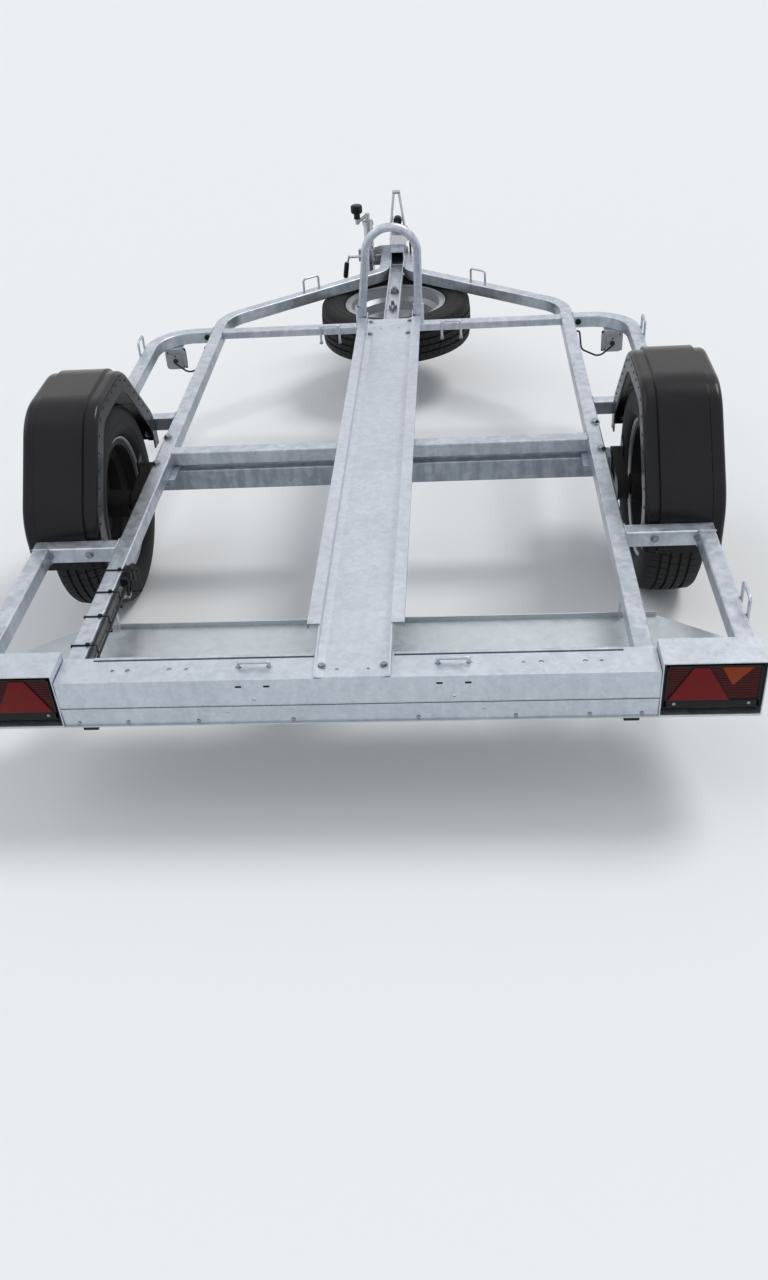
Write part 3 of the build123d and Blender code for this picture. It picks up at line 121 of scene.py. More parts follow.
def name_inputs(tree: Tree, values: dict[str, object]) -> None:
    """Gives a node tree its named inputs.

    Args:
        tree: The tree.
        values: Default value by name, whose type also sets the socket's.
    """
    for label, value in values.items():
        socket = tree.interface.new_socket(name=label, in_out="INPUT", socket_type=SOCKETS[type(value)])
        socket.default_value = value


class Nodes:
    """Short way to place and join nodes in one node tree."""

    def __init__(self, tree: Tree) -> None:
        """Starts on an empty tree."""
        self.tree = tree

    def add(self, kind: str, inputs: dict[str | int, object] | None = None, **settings: object) -> Node:
        """Adds a node.

        Args:
            kind: The node's type name.
            inputs: Values or sockets by input name or number.
            **settings: Properties of the node.

        Returns:
            The new node.
        """
        node = self.tree.nodes.new(kind)
        for name, value in settings.items():
            setattr(node, name, value)
        for key, value in (inputs or {}).items():
            if isinstance(value, Socket):
                self.tree.links.new(value, node.inputs[key])
            else:
                node.inputs[key].default_value = value
        return node

    def sum(self, kind: str, *values: object, clamp: bool = False) -> Socket:
        """Adds a maths node of a kind, clamped to 0 and 1 if asked, and returns its output."""
        return self.add("ShaderNodeMath", dict(enumerate(values)), operation=kind, use_clamp=clamp).outputs[0]

    def ramp(self, value: Socket, stops: Sequence[Pair]) -> Socket:
        """Adds a grey ramp.

        Args:
            value: The socket to map.
            stops: Pairs of place and grey value.

        Returns:
            The ramp's colour output.
        """
        node = self.add("ShaderNodeValToRGB", {"Fac": value})
        for element, (place, grey) in zip(node.color_ramp.elements, stops):
            element.position = place
            element.color = (grey, grey, grey, 1.0)
        return node.outputs["Color"]

    def mix(self, amount: object, first: object, second: object) -> Socket:
        """Adds a colour mix and returns its output."""
        return self.add("ShaderNodeMix", {"Factor": amount, 6: first, 7: second}, data_type="RGBA").outputs[2]

    def noise(self, where: Socket, scale: object, detail: float, roughness: float = 0.5) -> Node:
        """Adds a noise texture and returns its node."""
        return self.add("ShaderNodeTexNoise", {"Vector": where, "Scale": scale, "Detail": detail,
                                               "Roughness": roughness})


class Group(Nodes):
    """A shader node group on the object's own coordinates."""

    def __init__(self, name: str, inputs: dict[str, object], outputs: dict[str, object]) -> None:
        """Starts the group.

        Args:
            name: The group's name.
            inputs: Default value by input name.
            outputs: Default value by output name, for its type.
        """
        super().__init__(bpy.data.node_groups.new(name, "ShaderNodeTree"))
        name_inputs(self.tree, inputs)
        for label, value in outputs.items():
            self.tree.interface.new_socket(name=label, in_out="OUTPUT", socket_type=SOCKETS[type(value)])
        self.given = self.add("NodeGroupInput").outputs
        self.where = self.add("ShaderNodeTexCoord").outputs["Object"]


# How far crystals and clouds darken a zinc coat, and how much crystals differ in roughness
CRYSTAL_SHARE = 0.45
CLOUD_SHARE = 0.45
CRYSTAL_ROUGHNESS = 0.12


def zinc_bloom_group() -> Tree:
    """Makes the crystal pattern, clouds and run marks of a zinc coat.

    Returns:
        The node group, with a colour, a roughness and a height.
    """
    make = Group("zinc bloom", {
        "Light": (0.75, 0.79, 0.84, 1.0), "Dark": (0.5, 0.54, 0.6, 1.0), "Stain": (0.3, 0.32, 0.35, 1.0),
        "Crystal scale": 60.0, "Run strength": 0.5, "Base roughness": 0.4,
    }, {"Colour": (0.0, 0.0, 0.0, 1.0), "Roughness": 0.0, "Height": 0.0})
    given, where = make.given, make.where
    warp = make.noise(where, scale=35.0, detail=3.0).outputs["Color"]
    bent = make.add("ShaderNodeMix", {"Factor": 0.03, 4: where, 5: warp}, data_type="VECTOR").outputs[1]
    crystals = make.add("ShaderNodeTexVoronoi", {"Vector": bent, "Scale": given["Crystal scale"]})
    patches = make.add("ShaderNodeSeparateColor", {"Color": crystals.outputs["Color"]}).outputs
    clouds = make.noise(where, scale=7.0, detail=6.0, roughness=0.6)
    cloud = make.ramp(clouds.outputs["Fac"], [(0.3, 0.0), (0.7, 1.0)])
    stretched = make.add("ShaderNodeMapping", {"Vector": where, "Scale": (14.0, 14.0, 2.5)}).outputs["Vector"]
    run = make.ramp(make.noise(stretched, scale=3.0, detail=5.0).outputs["Fac"], [(0.42, 0.0), (0.6, 1.0)])
    run_part = make.sum("MULTIPLY", run, given["Run strength"])
    crystal_part = make.sum("MULTIPLY", patches["Red"], CRYSTAL_SHARE)
    cloud_part = make.sum("MULTIPLY", cloud, CLOUD_SHARE)
    both_parts = make.sum("ADD", crystal_part, cloud_part)
    shade = make.mix(make.sum("ADD", both_parts, run_part, clamp=True), given["Light"], given["Dark"])
    spots = make.noise(where, scale=22.0, detail=8.0, roughness=0.7)
    spot_mask = make.ramp(spots.outputs["Fac"], [(0.62, 0.0), (0.78, 0.8)])
    stained = make.mix(make.sum("MULTIPLY", spot_mask, given["Run strength"]), shade, given["Stain"])
    rough = make.sum("ADD", make.sum("MULTIPLY", patches["Green"], CRYSTAL_ROUGHNESS), given["Base roughness"])
    height = make.sum("ADD", make.noise(where, scale=260.0, detail=3.0).outputs["Fac"], patches["Blue"])
    make.add("NodeGroupOutput", {"Colour": stained, "Roughness": rough, "Height": height})
    return make.tree


def grime_group() -> Tree:
    """Makes patchy dust and fine grain for plastic, rubber and paint.

    Returns:
        The node group, with a dust mask and a fine grain height.
    """
    make = Group("grime", {"Dust": 0.3, "Patch scale": 6.0, "Grain scale": 700.0}, {"Dust mask": 0.0, "Grain": 0.0})
    patch = make.noise(make.where, make.given["Patch scale"], detail=7.0, roughness=0.65)
    mask = make.ramp(patch.outputs["Fac"], [(0.38, 0.0), (0.72, 1.0)])
    grain = make.noise(make.where, make.given["Grain scale"], detail=2.0)
    make.add("NodeGroupOutput", {"Dust mask": make.sum("MULTIPLY", mask, make.given["Dust"]),
                                 "Grain": grain.outputs["Fac"]})
    return make.tree


def prism_group() -> Tree:
    """Makes the small prism cells moulded into a lamp's lens.

    Returns:
        The node group, with a shade and a height.
    """
    make = Group("lens prisms", {"Cell scale": 260.0, "Depth": 0.5}, {"Shade": 0.0, "Height": 0.0})
    cells = make.add("ShaderNodeTexVoronoi", {"Vector": make.where, "Scale": make.given["Cell scale"],
                                              "Randomness": 0.12}, feature="DISTANCE_TO_EDGE")
    edge = make.ramp(cells.outputs["Distance"], [(0.0, 0.0), (0.35, 1.0)])
    make.add("NodeGroupOutput", {"Shade": make.sum("MULTIPLY", edge, make.given["Depth"]),
                                 "Height": cells.outputs["Distance"]})
    return make.tree


ZINC_BLOOM = zinc_bloom_group()
GRIME = grime_group()
PRISMS = prism_group()


class Surface(Nodes):
    """A material that ends in one surface shader."""

    def __init__(self, name: str) -> None:
        """Starts a material with an empty tree."""
        self.material = bpy.data.materials.new(name)
        self.material.use_nodes = True
        self.material.node_tree.nodes.clear()
        super().__init__(self.material.node_tree)

    def close(self, values: dict[str, object], height: Socket | None = None, bump: float = 0.0,
              depth: float = 0.001) -> Material:
        """Adds the surface shader.

        Args:
            values: Values or sockets by the shader's input name.
            height: Relief of the surface.
            bump: How strongly the relief shows.
            depth: The relief's depth.

        Returns:
            The finished material.
        """
        if height is not None:
            relief = self.add("ShaderNodeBump", {"Strength": bump, "Distance": depth, "Height": height})
            values = {**values, "Normal": relief.outputs["Normal"]}
        shader = self.add("ShaderNodeBsdfPrincipled", values)
        self.add("ShaderNodeOutputMaterial", {"Surface": shader.outputs["BSDF"]})
        return self.material


@dataclass(frozen=True)
class Zinc:
    """Hot-dip, sheet or plated zinc finish."""

    name: str
    light: Colour
    dark: Colour
    stain: Colour
    crystals: float
    runs: float
    roughness: float
    bump: float = 0.08
    metallic: float = 0.85

    def build(self) -> Material:
        """Builds the finish.

        Returns:
            Its material.
        """
        make = Surface(self.name)
        bloom = make.add("ShaderNodeGroup", {
            "Light": (*self.light, 1.0), "Dark": (*self.dark, 1.0), "Stain": (*self.stain, 1.0),
            "Crystal scale": self.crystals, "Run strength": self.runs, "Base roughness": self.roughness,
        }, node_tree=ZINC_BLOOM).outputs
        return make.close({"Base Color": bloom["Colour"], "Roughness": bloom["Roughness"], "Metallic": self.metallic},
                          bloom["Height"], self.bump)


@dataclass(frozen=True)
class Coat:
    """Paint, plastic or rubber with a little dust and grain."""

    name: str
    colour: Colour
    dusty: Colour
    dust: float
    roughness: float
    grain: float = 700.0
    bump: float = 0.05
    metallic: float = 0.0
    clear: float = 0.0
    patch: float = 6.0
    gloss: float = 0.5
    dust_roughness: float = 0.35
    grain_depth: float = 0.0006

    def build(self) -> Material:
        """Builds the finish.

        Returns:
            Its material.
        """
        make = Surface(self.name)
        grime = make.add("ShaderNodeGroup", {"Dust": self.dust, "Patch scale": self.patch, "Grain scale": self.grain},
                         node_tree=GRIME).outputs
        return make.close({
            "Base Color": make.mix(grime["Dust mask"], (*self.colour, 1.0), (*self.dusty, 1.0)),
            "Roughness": make.sum("MULTIPLY_ADD", grime["Dust mask"], self.dust_roughness, self.roughness),
            "Metallic": self.metallic, "Coat Weight": self.clear, "Specular IOR Level": self.gloss,
        }, grime["Grain"], self.bump, self.grain_depth)


@dataclass(frozen=True)
class Lens:
    """Coloured lamp plastic with prism cells below a smooth face."""

    name: str
    colour: Colour
    deep: Colour
    cells: float
    roughness: float = 0.12
    depth: float = 0.9
    bump: float = 0.25
    gloss: float = 0.18

    def build(self) -> Material:
        """Builds the finish.

        Returns:
            Its material.
        """
        make = Surface(self.name)
        prisms = make.add("ShaderNodeGroup", {"Cell scale": self.cells, "Depth": self.depth},
                          node_tree=PRISMS).outputs
        return make.close({"Base Color": make.mix(prisms["Shade"], (*self.deep, 1.0), (*self.colour, 1.0)),
                           "Roughness": self.roughness, "Specular IOR Level": self.gloss},
                          prisms["Height"], self.bump)


class Finish(Enum):
    """Every finish on the trailer."""

    TUBE = Zinc("zinc tube", (0.60, 0.64, 0.70), (0.40, 0.44, 0.50), (0.24, 0.26, 0.30), 75.0, 0.40, 0.32)
    SHEET = Zinc("zinc sheet", (0.60, 0.64, 0.70), (0.46, 0.50, 0.56), (0.30, 0.32, 0.36), 110.0, 0.25, 0.34, 0.04)
    SHELF = Zinc("zinc shelf", (0.56, 0.60, 0.63), (0.48, 0.52, 0.55), (0.32, 0.35, 0.37), 60.0, 0.20, 0.38, 0.04)
    AXLE = Zinc("zinc axle", (0.44, 0.48, 0.54), (0.27, 0.30, 0.35), (0.18, 0.19, 0.22), 55.0, 0.55, 0.42)
    WELD = Zinc("zinc weld", (0.46, 0.50, 0.56), (0.30, 0.33, 0.38), (0.20, 0.22, 0.24), 300.0, 0.40, 0.40, 0.12)
    BRIGHT = Zinc("bright zinc plate", (0.58, 0.60, 0.63), (0.42, 0.44, 0.47), (0.28, 0.28, 0.29), 160.0, 0.15, 0.24,
                  0.02, 0.95)
    BOLT = Zinc("plated bolt", (0.36, 0.38, 0.41), (0.21, 0.22, 0.24), (0.14, 0.14, 0.15), 500.0, 0.35, 0.26,
                0.03, 0.95)
    RIM = Coat("silver wheel paint", (0.42, 0.44, 0.46), (0.22, 0.215, 0.21), 0.35, 0.40, 900.0, 0.03, 0.45, 0.10)
    # Painted shade: near-black colour standing for the shadow inside the road wheels' rims; its lighter patches are
    # dust
    WHEEL_INSIDE_SHADE = Coat("painted shade inside the wheel", (0.016, 0.016, 0.017), (0.045, 0.042, 0.038), 0.40, 0.55, 500.0, 0.10,
                        gloss=0.20)
    GUARD = Coat("black guard plastic", (0.006, 0.006, 0.008), (0.022, 0.022, 0.025), 0.20, 0.24, 420.0, 0.08, 0.0,
                 0.10, gloss=0.17)
    ARM = Coat("black chassis paint", (0.008, 0.008, 0.009), (0.035, 0.033, 0.030), 0.30, 0.38, 500.0, 0.08,
               gloss=0.25)
    TREAD = Coat("tyre rubber", (0.010, 0.010, 0.011), (0.034, 0.033, 0.031), 0.40, 0.62, 1200.0, 0.14, patch=11.0,
                 gloss=0.22)
    RUBBER = Coat("moulded rubber", (0.009, 0.009, 0.010), (0.040, 0.038, 0.036), 0.30, 0.58, 900.0, 0.10, gloss=0.25)
    PLASTIC = Coat("black moulding", (0.006, 0.006, 0.007), (0.026, 0.026, 0.027), 0.20, 0.36, 900.0, 0.04,
                   gloss=0.20)
    SHEATH = Coat("cable sheath", (0.008, 0.008, 0.009), (0.034, 0.034, 0.035), 0.25, 0.42, 1500.0, 0.05, gloss=0.28)
    # Painted shadow: the dark strip under the rear beam's fold
    SHADOW = Coat("painted shadow in a fold", (0.060, 0.062, 0.066), (0.150, 0.152, 0.155), 0.5, 0.60, 500.0, 0.08, gloss=0.20)
    CONDUIT = Coat("ribbed conduit", (0.060, 0.061, 0.064), (0.170, 0.170, 0.172), 0.55, 0.30, 900.0, 0.05)
    GREY = Coat("grey moulding", (0.30, 0.31, 0.32), (0.18, 0.18, 0.175), 0.30, 0.45, 800.0, 0.04)
    RED = Lens("red lens", (0.085, 0.002, 0.003), (0.030, 0.001, 0.001), 180.0)
    REFLECTOR = Lens("red reflector", (0.22, 0.003, 0.005), (0.09, 0.001, 0.002), 420.0, 0.14)
    AMBER = Lens("amber lens", (0.42, 0.085, 0.005), (0.20, 0.028, 0.002), 240.0)
    CLEAR = Lens("clear lens", (0.66, 0.67, 0.68), (0.36, 0.37, 0.39), 260.0)


class Finishes:
    """Builds each finish once and hands it out."""

    def __init__(self) -> None:
        """Starts with no material built."""
        self._made: dict[Finish, Material] = {}

    def get(self, finish: Finish) -> Material:
        """Hands out a material.

        Args:
            finish: The finish.

        Returns:
            Its material, built on first use.
        """
        if finish not in self._made:
            self._made[finish] = finish.value.build()
        return self._made[finish]

    def dress(self, names: Iterable[str], finish: Finish) -> None:
        """Gives a finish to solids of the frame.

        Args:
            names: The solids' names.
            finish: Their finish.
        """
        for name in names:
            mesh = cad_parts[name].data
            mesh.materials.clear()
            mesh.materials.append(self.get(finish))
            log.info("dressed %s with %s", name, finish.value.name)


FINISHES = Finishes()


# Shapes


def from_bmesh(work: bmesh.types.BMesh) -> Mesh:
    """Closes a work mesh, turns its faces outwards and stores it.

    Args:
        work: The work mesh, freed afterwards.

    Returns:
        The stored mesh.
    """
    bmesh.ops.remove_doubles(work, verts=work.verts, dist=SAME_PLACE)
    bmesh.ops.recalc_face_normals(work, faces=work.faces)
    mesh = bpy.data.meshes.new("shape")
    work.to_mesh(mesh)
    work.free()
    return mesh


def join_rings(work: bmesh.types.BMesh, pairs: Iterable[Sequence[list[bmesh.types.BMVert]]]) -> None:
    """Fills the wall between each pair of rings, with triangles at a pole.

    Args:
        work: The work mesh.
        pairs: Rings of the same number of corners, two by two.
    """
    for first, second in pairs:
        for index, corner in enumerate(first):
            after = (index + 1) % len(first)
            distinct = list(dict.fromkeys((corner, first[after], second[after], second[index])))
            if len(distinct) > 2:
                work.faces.new(distinct)


def lathe(rows: Sequence[Pair], segments: int, closed: bool = False) -> Mesh:
    """Turns a profile about the X axis.

    Args:
        rows: Pairs of place along X and radius.
        segments: Flats round the axis.
        closed: Whether the last row joins the first, for a ring.

    Returns:
        The turned mesh.
    """
    work = bmesh.new()
    turns = [WHOLE_TURN * index / segments for index in range(segments)]
    rings = []
    for place, radius in rows:
        if radius < SAME_PLACE:
            rings.append([work.verts.new((place, 0.0, 0.0))] * segments)
        else:
            rings.append([work.verts.new((place, radius * math.cos(turn), radius * math.sin(turn)))
                          for turn in turns])
    join_rings(work, list(zip(rings, rings[1:])) + ([(rings[-1], rings[0])] if closed else []))
    return from_bmesh(work)


def prism(outline: Sequence[Pair], low: float, high: float, bevel: float = 0.0) -> Mesh:
    """Raises an X, Z outline along Y.

    Args:
        outline: The outline's corners.
        low: The Y of its first face.
        high: The Y of its second face.
        bevel: Width of the worn edge.

    Returns:
        The raised mesh.
    """
    work = bmesh.new()
    ends = [[work.verts.new((x, y, z)) for x, z in outline] for y in (low, high)]
    for end in ends:
        work.faces.new(end)
    join_rings(work, [ends])
    bmesh.ops.recalc_face_normals(work, faces=work.faces)
    if bevel:
        bmesh.ops.bevel(work, geom=work.edges[:], offset=bevel, segments=2, affect="EDGES", profile=0.7)
    return from_bmesh(work)


def block(size: Point, bevel: float = 0.0) -> Mesh:
    """Makes a block round the origin from its width, depth and height, with worn edges."""
    x, y, z = (value / 2 for value in size)
    return prism([(-x, -z), (x, -z), (x, z), (-x, z)], -y, y, bevel)


@dataclass(frozen=True)
class Station:
    """A place on a path, with the way it runs."""

    place: Vector
    ahead: Vector


def round_path(corners: Sequence[Vector], radius: float, step: float) -> list[Station]:
    """Rounds a line of straight runs with arcs.

    Args:
        corners: The line's corners.
        radius: The arcs' radius.
        step: Longest distance between stations on an arc.

    Returns:
        Stations from the first corner to the last.
    """
    stations = [Station(corners[0], (corners[1] - corners[0]).normalized())]
    for before, corner, after in zip(corners, corners[1:], corners[2:]):
        enter, leave = (corner - before).normalized(), (after - corner).normalized()
        turn = enter.angle(leave)
        start = corner - enter * (radius * math.tan(turn / 2))
        inwards = (leave - enter * enter.dot(leave)).normalized()
        middle = start + inwards * radius
        count = max(2, math.ceil(radius * turn / step))
        for index in range(count + 1):
            angle = turn * index / count
            place = middle + radius * (enter * math.sin(angle) - inwards * math.cos(angle))
            stations.append(Station(place, enter * math.cos(angle) + inwards * math.sin(angle)))
    stations.append(Station(corners[-1], (corners[-1] - corners[-2]).normalized()))
    return stations


def tube(stations: Sequence[Station], radius: float, sides: int = 10) -> Mesh:
    """Runs a round bar along a path.

    Args:
        stations: The path.
        radius: The bar's radius.
        sides: Flats round it.

    Returns:
        The mesh, closed at both ends.
    """
    work = bmesh.new()
    across = stations[0].ahead.cross(Vector((0.0, 0.0, 1.0)))
    if across.length < UPRIGHT:
        across = stations[0].ahead.cross(Vector((0.0, 1.0, 0.0)))
    turns = [WHOLE_TURN * index / sides for index in range(sides)]
    rings = []
    for station in stations:
        across = (across - station.ahead * across.dot(station.ahead)).normalized()
        over = station.ahead.cross(across)
        rings.append([work.verts.new(station.place + radius * (across * math.cos(turn) + over * math.sin(turn)))
                      for turn in turns])
    join_rings(work, zip(rings, rings[1:]))
    work.faces.new(rings[0])
    work.faces.new(rings[-1])
    return from_bmesh(work)


def line_mesh(places: Sequence[Vector]) -> Mesh:
    """Stores a line of points joined by edges.

    Args:
        places: The points in order.

    Returns:
        The line.
    """
    mesh = bpy.data.meshes.new("line")
    mesh.from_pydata([tuple(place) for place in places], [(i, i + 1) for i in range(len(places) - 1)], [])
    return mesh


def facing(way: Vector) -> Euler:
    """Returns the turn that points a shape's X axis a given way."""
    return way.to_track_quat("X", "Z").to_euler()


def mirrored(rows: Sequence[Pair]) -> list[Pair]:
    """Returns the other half of a profile, for a shape whose two sides are alike."""
    return [(-place, radius) for place, radius in reversed(rows)]


def at(place: Vector, turn: Euler) -> Matrix:
    """Returns the matrix that turns a shape and moves it to its place."""
    return Matrix.Translation(place) @ turn.to_matrix().to_4x4()


LEVEL = Euler()
UP, DOWN, AHEAD, BACK, OUTWARDS, INWARDS = (facing(Vector(way)) for way in (
    (0.0, 0.0, 1.0), (0.0, 0.0, -1.0), (0.0, 1.0, 0.0), (0.0, -1.0, 0.0), (1.0, 0.0, 0.0), (-1.0, 0.0, 0.0)))


# Repeats by Geometry Nodes


class PatternTree:
    """A Geometry Nodes tree with named inputs that ends in plain faces of one finish."""

    def __init__(self, name: str, inputs: dict[str, object]) -> None:
        """Starts the tree.

        Args:
            name: The tree's name.
            inputs: Default value by input name.
        """
        self.tree = bpy.data.node_groups.new(name, "GeometryNodeTree")
        for label, way, kind in (("Line", "INPUT", "Geometry"), ("Shape", "INPUT", "Object"),
                                 ("Finish", "INPUT", "Material"), ("Faces", "OUTPUT", "Geometry")):
            self.tree.interface.new_socket(name=label, in_out=way, socket_type=f"NodeSocket{kind}")
        name_inputs(self.tree, inputs)
        self.make = Nodes(self.tree)
        self.given = self.make.add("NodeGroupInput").outputs

    def close(self, points: Socket, rotation: Socket, scale: object) -> None:
        """Sets the shape on points, then makes the result plain.

        Args:
            points: Geometry to set the shape on.
            rotation: The turn at each point.
            scale: The size at each point.
        """
        shape = self.make.add("GeometryNodeObjectInfo", {"Object": self.given["Shape"]}).outputs["Geometry"]
        copies = self.make.add("GeometryNodeInstanceOnPoints",
                               {"Points": points, "Instance": shape, "Rotation": rotation, "Scale": scale})
        real = self.make.add("GeometryNodeRealizeInstances", {0: copies.outputs[0]})
        finished = self.make.add("GeometryNodeSetMaterial", {0: real.outputs[0], "Material": self.given["Finish"]})
        self.make.add("NodeGroupOutput", {0: finished.outputs[0]})

    def grow(self, line: Mesh, shape: Mesh, finish: Finish, values: dict[str, object] | None = None) -> Mesh:
        """Runs the tree on a line or points.

        Args:
            line: The points or line to set the shape on.
            shape: The repeated shape.
            finish: The finish of the result.
            values: Other inputs by name.

        Returns:
            The result as a plain mesh.
        """
        pattern = bpy.data.objects.new("pattern", shape)
        host = bpy.data.objects.new("host", line)
        link(pattern)
        link(host)
        given = {"Shape": pattern, "Finish": FINISHES.get(finish), **(values or {})}
        modifier = host.modifiers.new("repeat", "NODES")
        modifier.node_group = self.tree
        for item in self.tree.interface.items_tree:
            if item.in_out == "INPUT" and item.name in given:
                modifier[item.identifier] = given[item.name]
        made = bpy.data.meshes.new_from_object(host.evaluated_get(bpy.context.evaluated_depsgraph_get()))
        host.modifiers.remove(modifier)
        bpy.data.objects.remove(host)
        bpy.data.objects.remove(pattern)
        return made


def marked_tree() -> PatternTree:
    """Makes the tree that sets a shape on points, turned by each point's mark.

    Returns:
        The tree.
    """
    pattern = PatternTree("set on marks", {"Size": 1.0})
    mark = pattern.make.add("GeometryNodeInputNamedAttribute", {"Name": "mark"}, data_type="FLOAT_VECTOR")
    turn = pattern.make.add("FunctionNodeEulerToRotation", {0: mark.outputs["Attribute"]})
    pattern.close(pattern.given["Line"], turn.outputs[0], pattern.given["Size"])
    return pattern


def ring_tree() -> PatternTree:
    """Makes the tree that sets a shape round the X axis.

    Returns:
        The tree.
    """
    pattern = PatternTree("set in a ring", {"Count": 8, "Phase": 0.0})
    make, given = pattern.make, pattern.given
    places = make.add("GeometryNodeMeshLine", {"Count": given["Count"], "Offset": (0.0, 0.0, 0.0)})
    share = make.sum("DIVIDE", make.add("GeometryNodeInputIndex").outputs[0], given["Count"])
    angle = make.sum("MULTIPLY_ADD", share, WHOLE_TURN, given["Phase"])
    euler = make.add("ShaderNodeCombineXYZ", {"X": angle})
    turn = make.add("FunctionNodeEulerToRotation", {0: euler.outputs[0]})
    pattern.close(places.outputs[0], turn.outputs[0], (1.0, 1.0, 1.0))
    return pattern


def path_tree() -> PatternTree:
    """Makes the tree that sets a shape along a line at a given spacing, a little uneven.

    Returns:
        The tree.
    """
    pattern = PatternTree("set along a line", {"Spacing": 0.01, "Least": 1.0, "Most": 1.0, "Seed": 7})
    make, given = pattern.make, pattern.given
    curve = make.add("GeometryNodeMeshToCurve", {0: given["Line"]})
    even = make.add("GeometryNodeResampleCurve", {"Curve": curve.outputs[0], "Length": given["Spacing"]},
                    mode="LENGTH")
    tangent = make.add("GeometryNodeInputTangent").outputs[0]
    turn = make.add("FunctionNodeAlignRotationToVector", {"Vector": tangent}, axis="X")
    size = make.add("FunctionNodeRandomValue", {2: given["Least"], 3: given["Most"], "Seed": given["Seed"]},
                    data_type="FLOAT")
    pattern.close(even.outputs[0], turn.outputs[0], size.outputs[1])
    return pattern


MARKED = marked_tree()
RING = ring_tree()
PATH = path_tree()


def marks(places: Sequence[Vector], turn: Euler = LEVEL) -> Mesh:
    """Stores points with the turn of the shape that goes on them.

    Args:
        places: The points.
        turn: The shape's turn.

    Returns:
        A mesh of loose points.
    """
    mesh = bpy.data.meshes.new("marks")
    mesh.from_pydata([tuple(place) for place in places], [], [])
    layer = mesh.attributes.new("mark", "FLOAT_VECTOR", "POINT")
    layer.data.foreach_set("vector", list(turn) * len(places))
    return mesh


def ring_of(shape: Mesh, finish: Finish, count: int, phase: float) -> Mesh:
    """Returns copies of a shape set evenly round the X axis, the first one turned by the phase."""
    return RING.grow(marks([]), shape, finish, {"Count": count, "Phase": phase})


class Gather:
    """Collects shapes of several finishes into one piece on one body."""

    def __init__(self, name: str, body: str = BODY) -> None:
        """Starts an empty piece.

        Args:
            name: The piece's name.
            body: The body that it rides on.
        """
        self.name = name
        self.body = body
        self.work = bmesh.new()
        self.finishes: list[Finish] = []

    def put(self, mesh: Mesh, finish: Finish, place: Matrix | None = None) -> None:
        """Adds a shape.

        Args:
            mesh: The shape.
            finish: Its finish.
            place: Where it goes.
        """
        if finish not in self.finishes:
            self.finishes.append(finish)
        first = len(self.work.faces)
        copy = mesh.copy()
        if place is not None:
            copy.transform(place)
            if place.determinant() < 0:
                copy.flip_normals()
        self.work.from_mesh(copy)
        self.work.faces.ensure_lookup_table()
        for face in self.work.faces[first:]:
            face.material_index = self.finishes.index(finish)
        bpy.data.meshes.remove(copy)

    def put_both(self, mesh: Mesh, finish: Finish, place: Matrix | None = None) -> None:
        """Adds a shape on the right and its mirror image on the left.

        Args:
            mesh: The shape.
            finish: Its finish.
            place: Where it goes on the right.
        """
        where = place if place is not None else Matrix.Identity(4)
        self.put(mesh, finish, where)
        self.put(mesh, finish, MIRROR @ where)

    def repeat(self, shape: Mesh, finish: Finish, places: Sequence[Vector], turn: Euler = LEVEL) -> None:
        """Adds a shape at several places on the right, and their mirror images on the left."""
        self.put_both(MARKED.grow(marks(places, turn), shape, finish), finish)

    def done(self, *replaces: str) -> None:
        """Stores the piece and lets it ride on its body.

        Args:
            *replaces: Solids of the frame that it stands for.
        """
        mesh = bpy.data.meshes.new(self.name)
        for face in self.work.faces:
            face.smooth = True
        self.work.to_mesh(mesh)
        self.work.free()
        for finish in self.finishes:
            mesh.materials.append(FINISHES.get(finish))
        mesh.set_sharp_from_angle(angle=math.radians(SMOOTH_BELOW))
        piece = bpy.data.objects.new(self.name, mesh)
        link(piece)
        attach(piece, self.body)
        if replaces:
            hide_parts(*replaces)
        log.info("made %s with %d faces", self.name, len(mesh.polygons))


def spot(x: float, y: float, z: float) -> Vector:
    """Returns a point from its place along the trailer, counted from the tail."""
    return Vector((x, y - TAIL, z))


# Thickness of the washer under a head, and the shares of it at its worn edge
WASHER = 0.0018
WASHER_EDGE = (0.8, 0.95)
# Shares of a head's height and radius at its chamfer
CHAMFER = (0.8, 0.82)
# Shares of a rivet's height and radius from its foot to its top
DOME = ((0.0, 0.0), (0.0, 1.0), (0.35, 0.96), (0.8, 0.6), (1.0, 0.0))


def hex_head(radius: float, height: float, washer: float = 0.0) -> Mesh:
    """Makes a chamfered hexagon head that points along X, with a washer below.

    Args:
        radius: Distance from the axis to a corner.
        height: The head's height.
        washer: The washer's radius, or 0 for none.

    Returns:
        The mesh.
    """
    work = bmesh.new()
    low = WASHER if washer else 0.0
    up, inwards = CHAMFER
    work.from_mesh(lathe([(low, 0.0), (low, radius), (low + height * up, radius), (low + height, radius * inwards),
                          (low + height, 0.0)], segments=6))
    if washer:
        up, inwards = WASHER_EDGE
        work.from_mesh(lathe([(0.0, 0.0), (0.0, washer), (low * up, washer), (low, washer * inwards), (low, 0.0)],
                             segments=20))
    mesh = bpy.data.meshes.new("hexagon head")
    work.to_mesh(mesh)
    work.free()
    return mesh


def dome_head(radius: float, height: float) -> Mesh:
    """Makes a rivet's domed head that points along X."""
    return lathe([(height * up, radius * out) for up, out in DOME], segments=14)


# Sub-assemblies


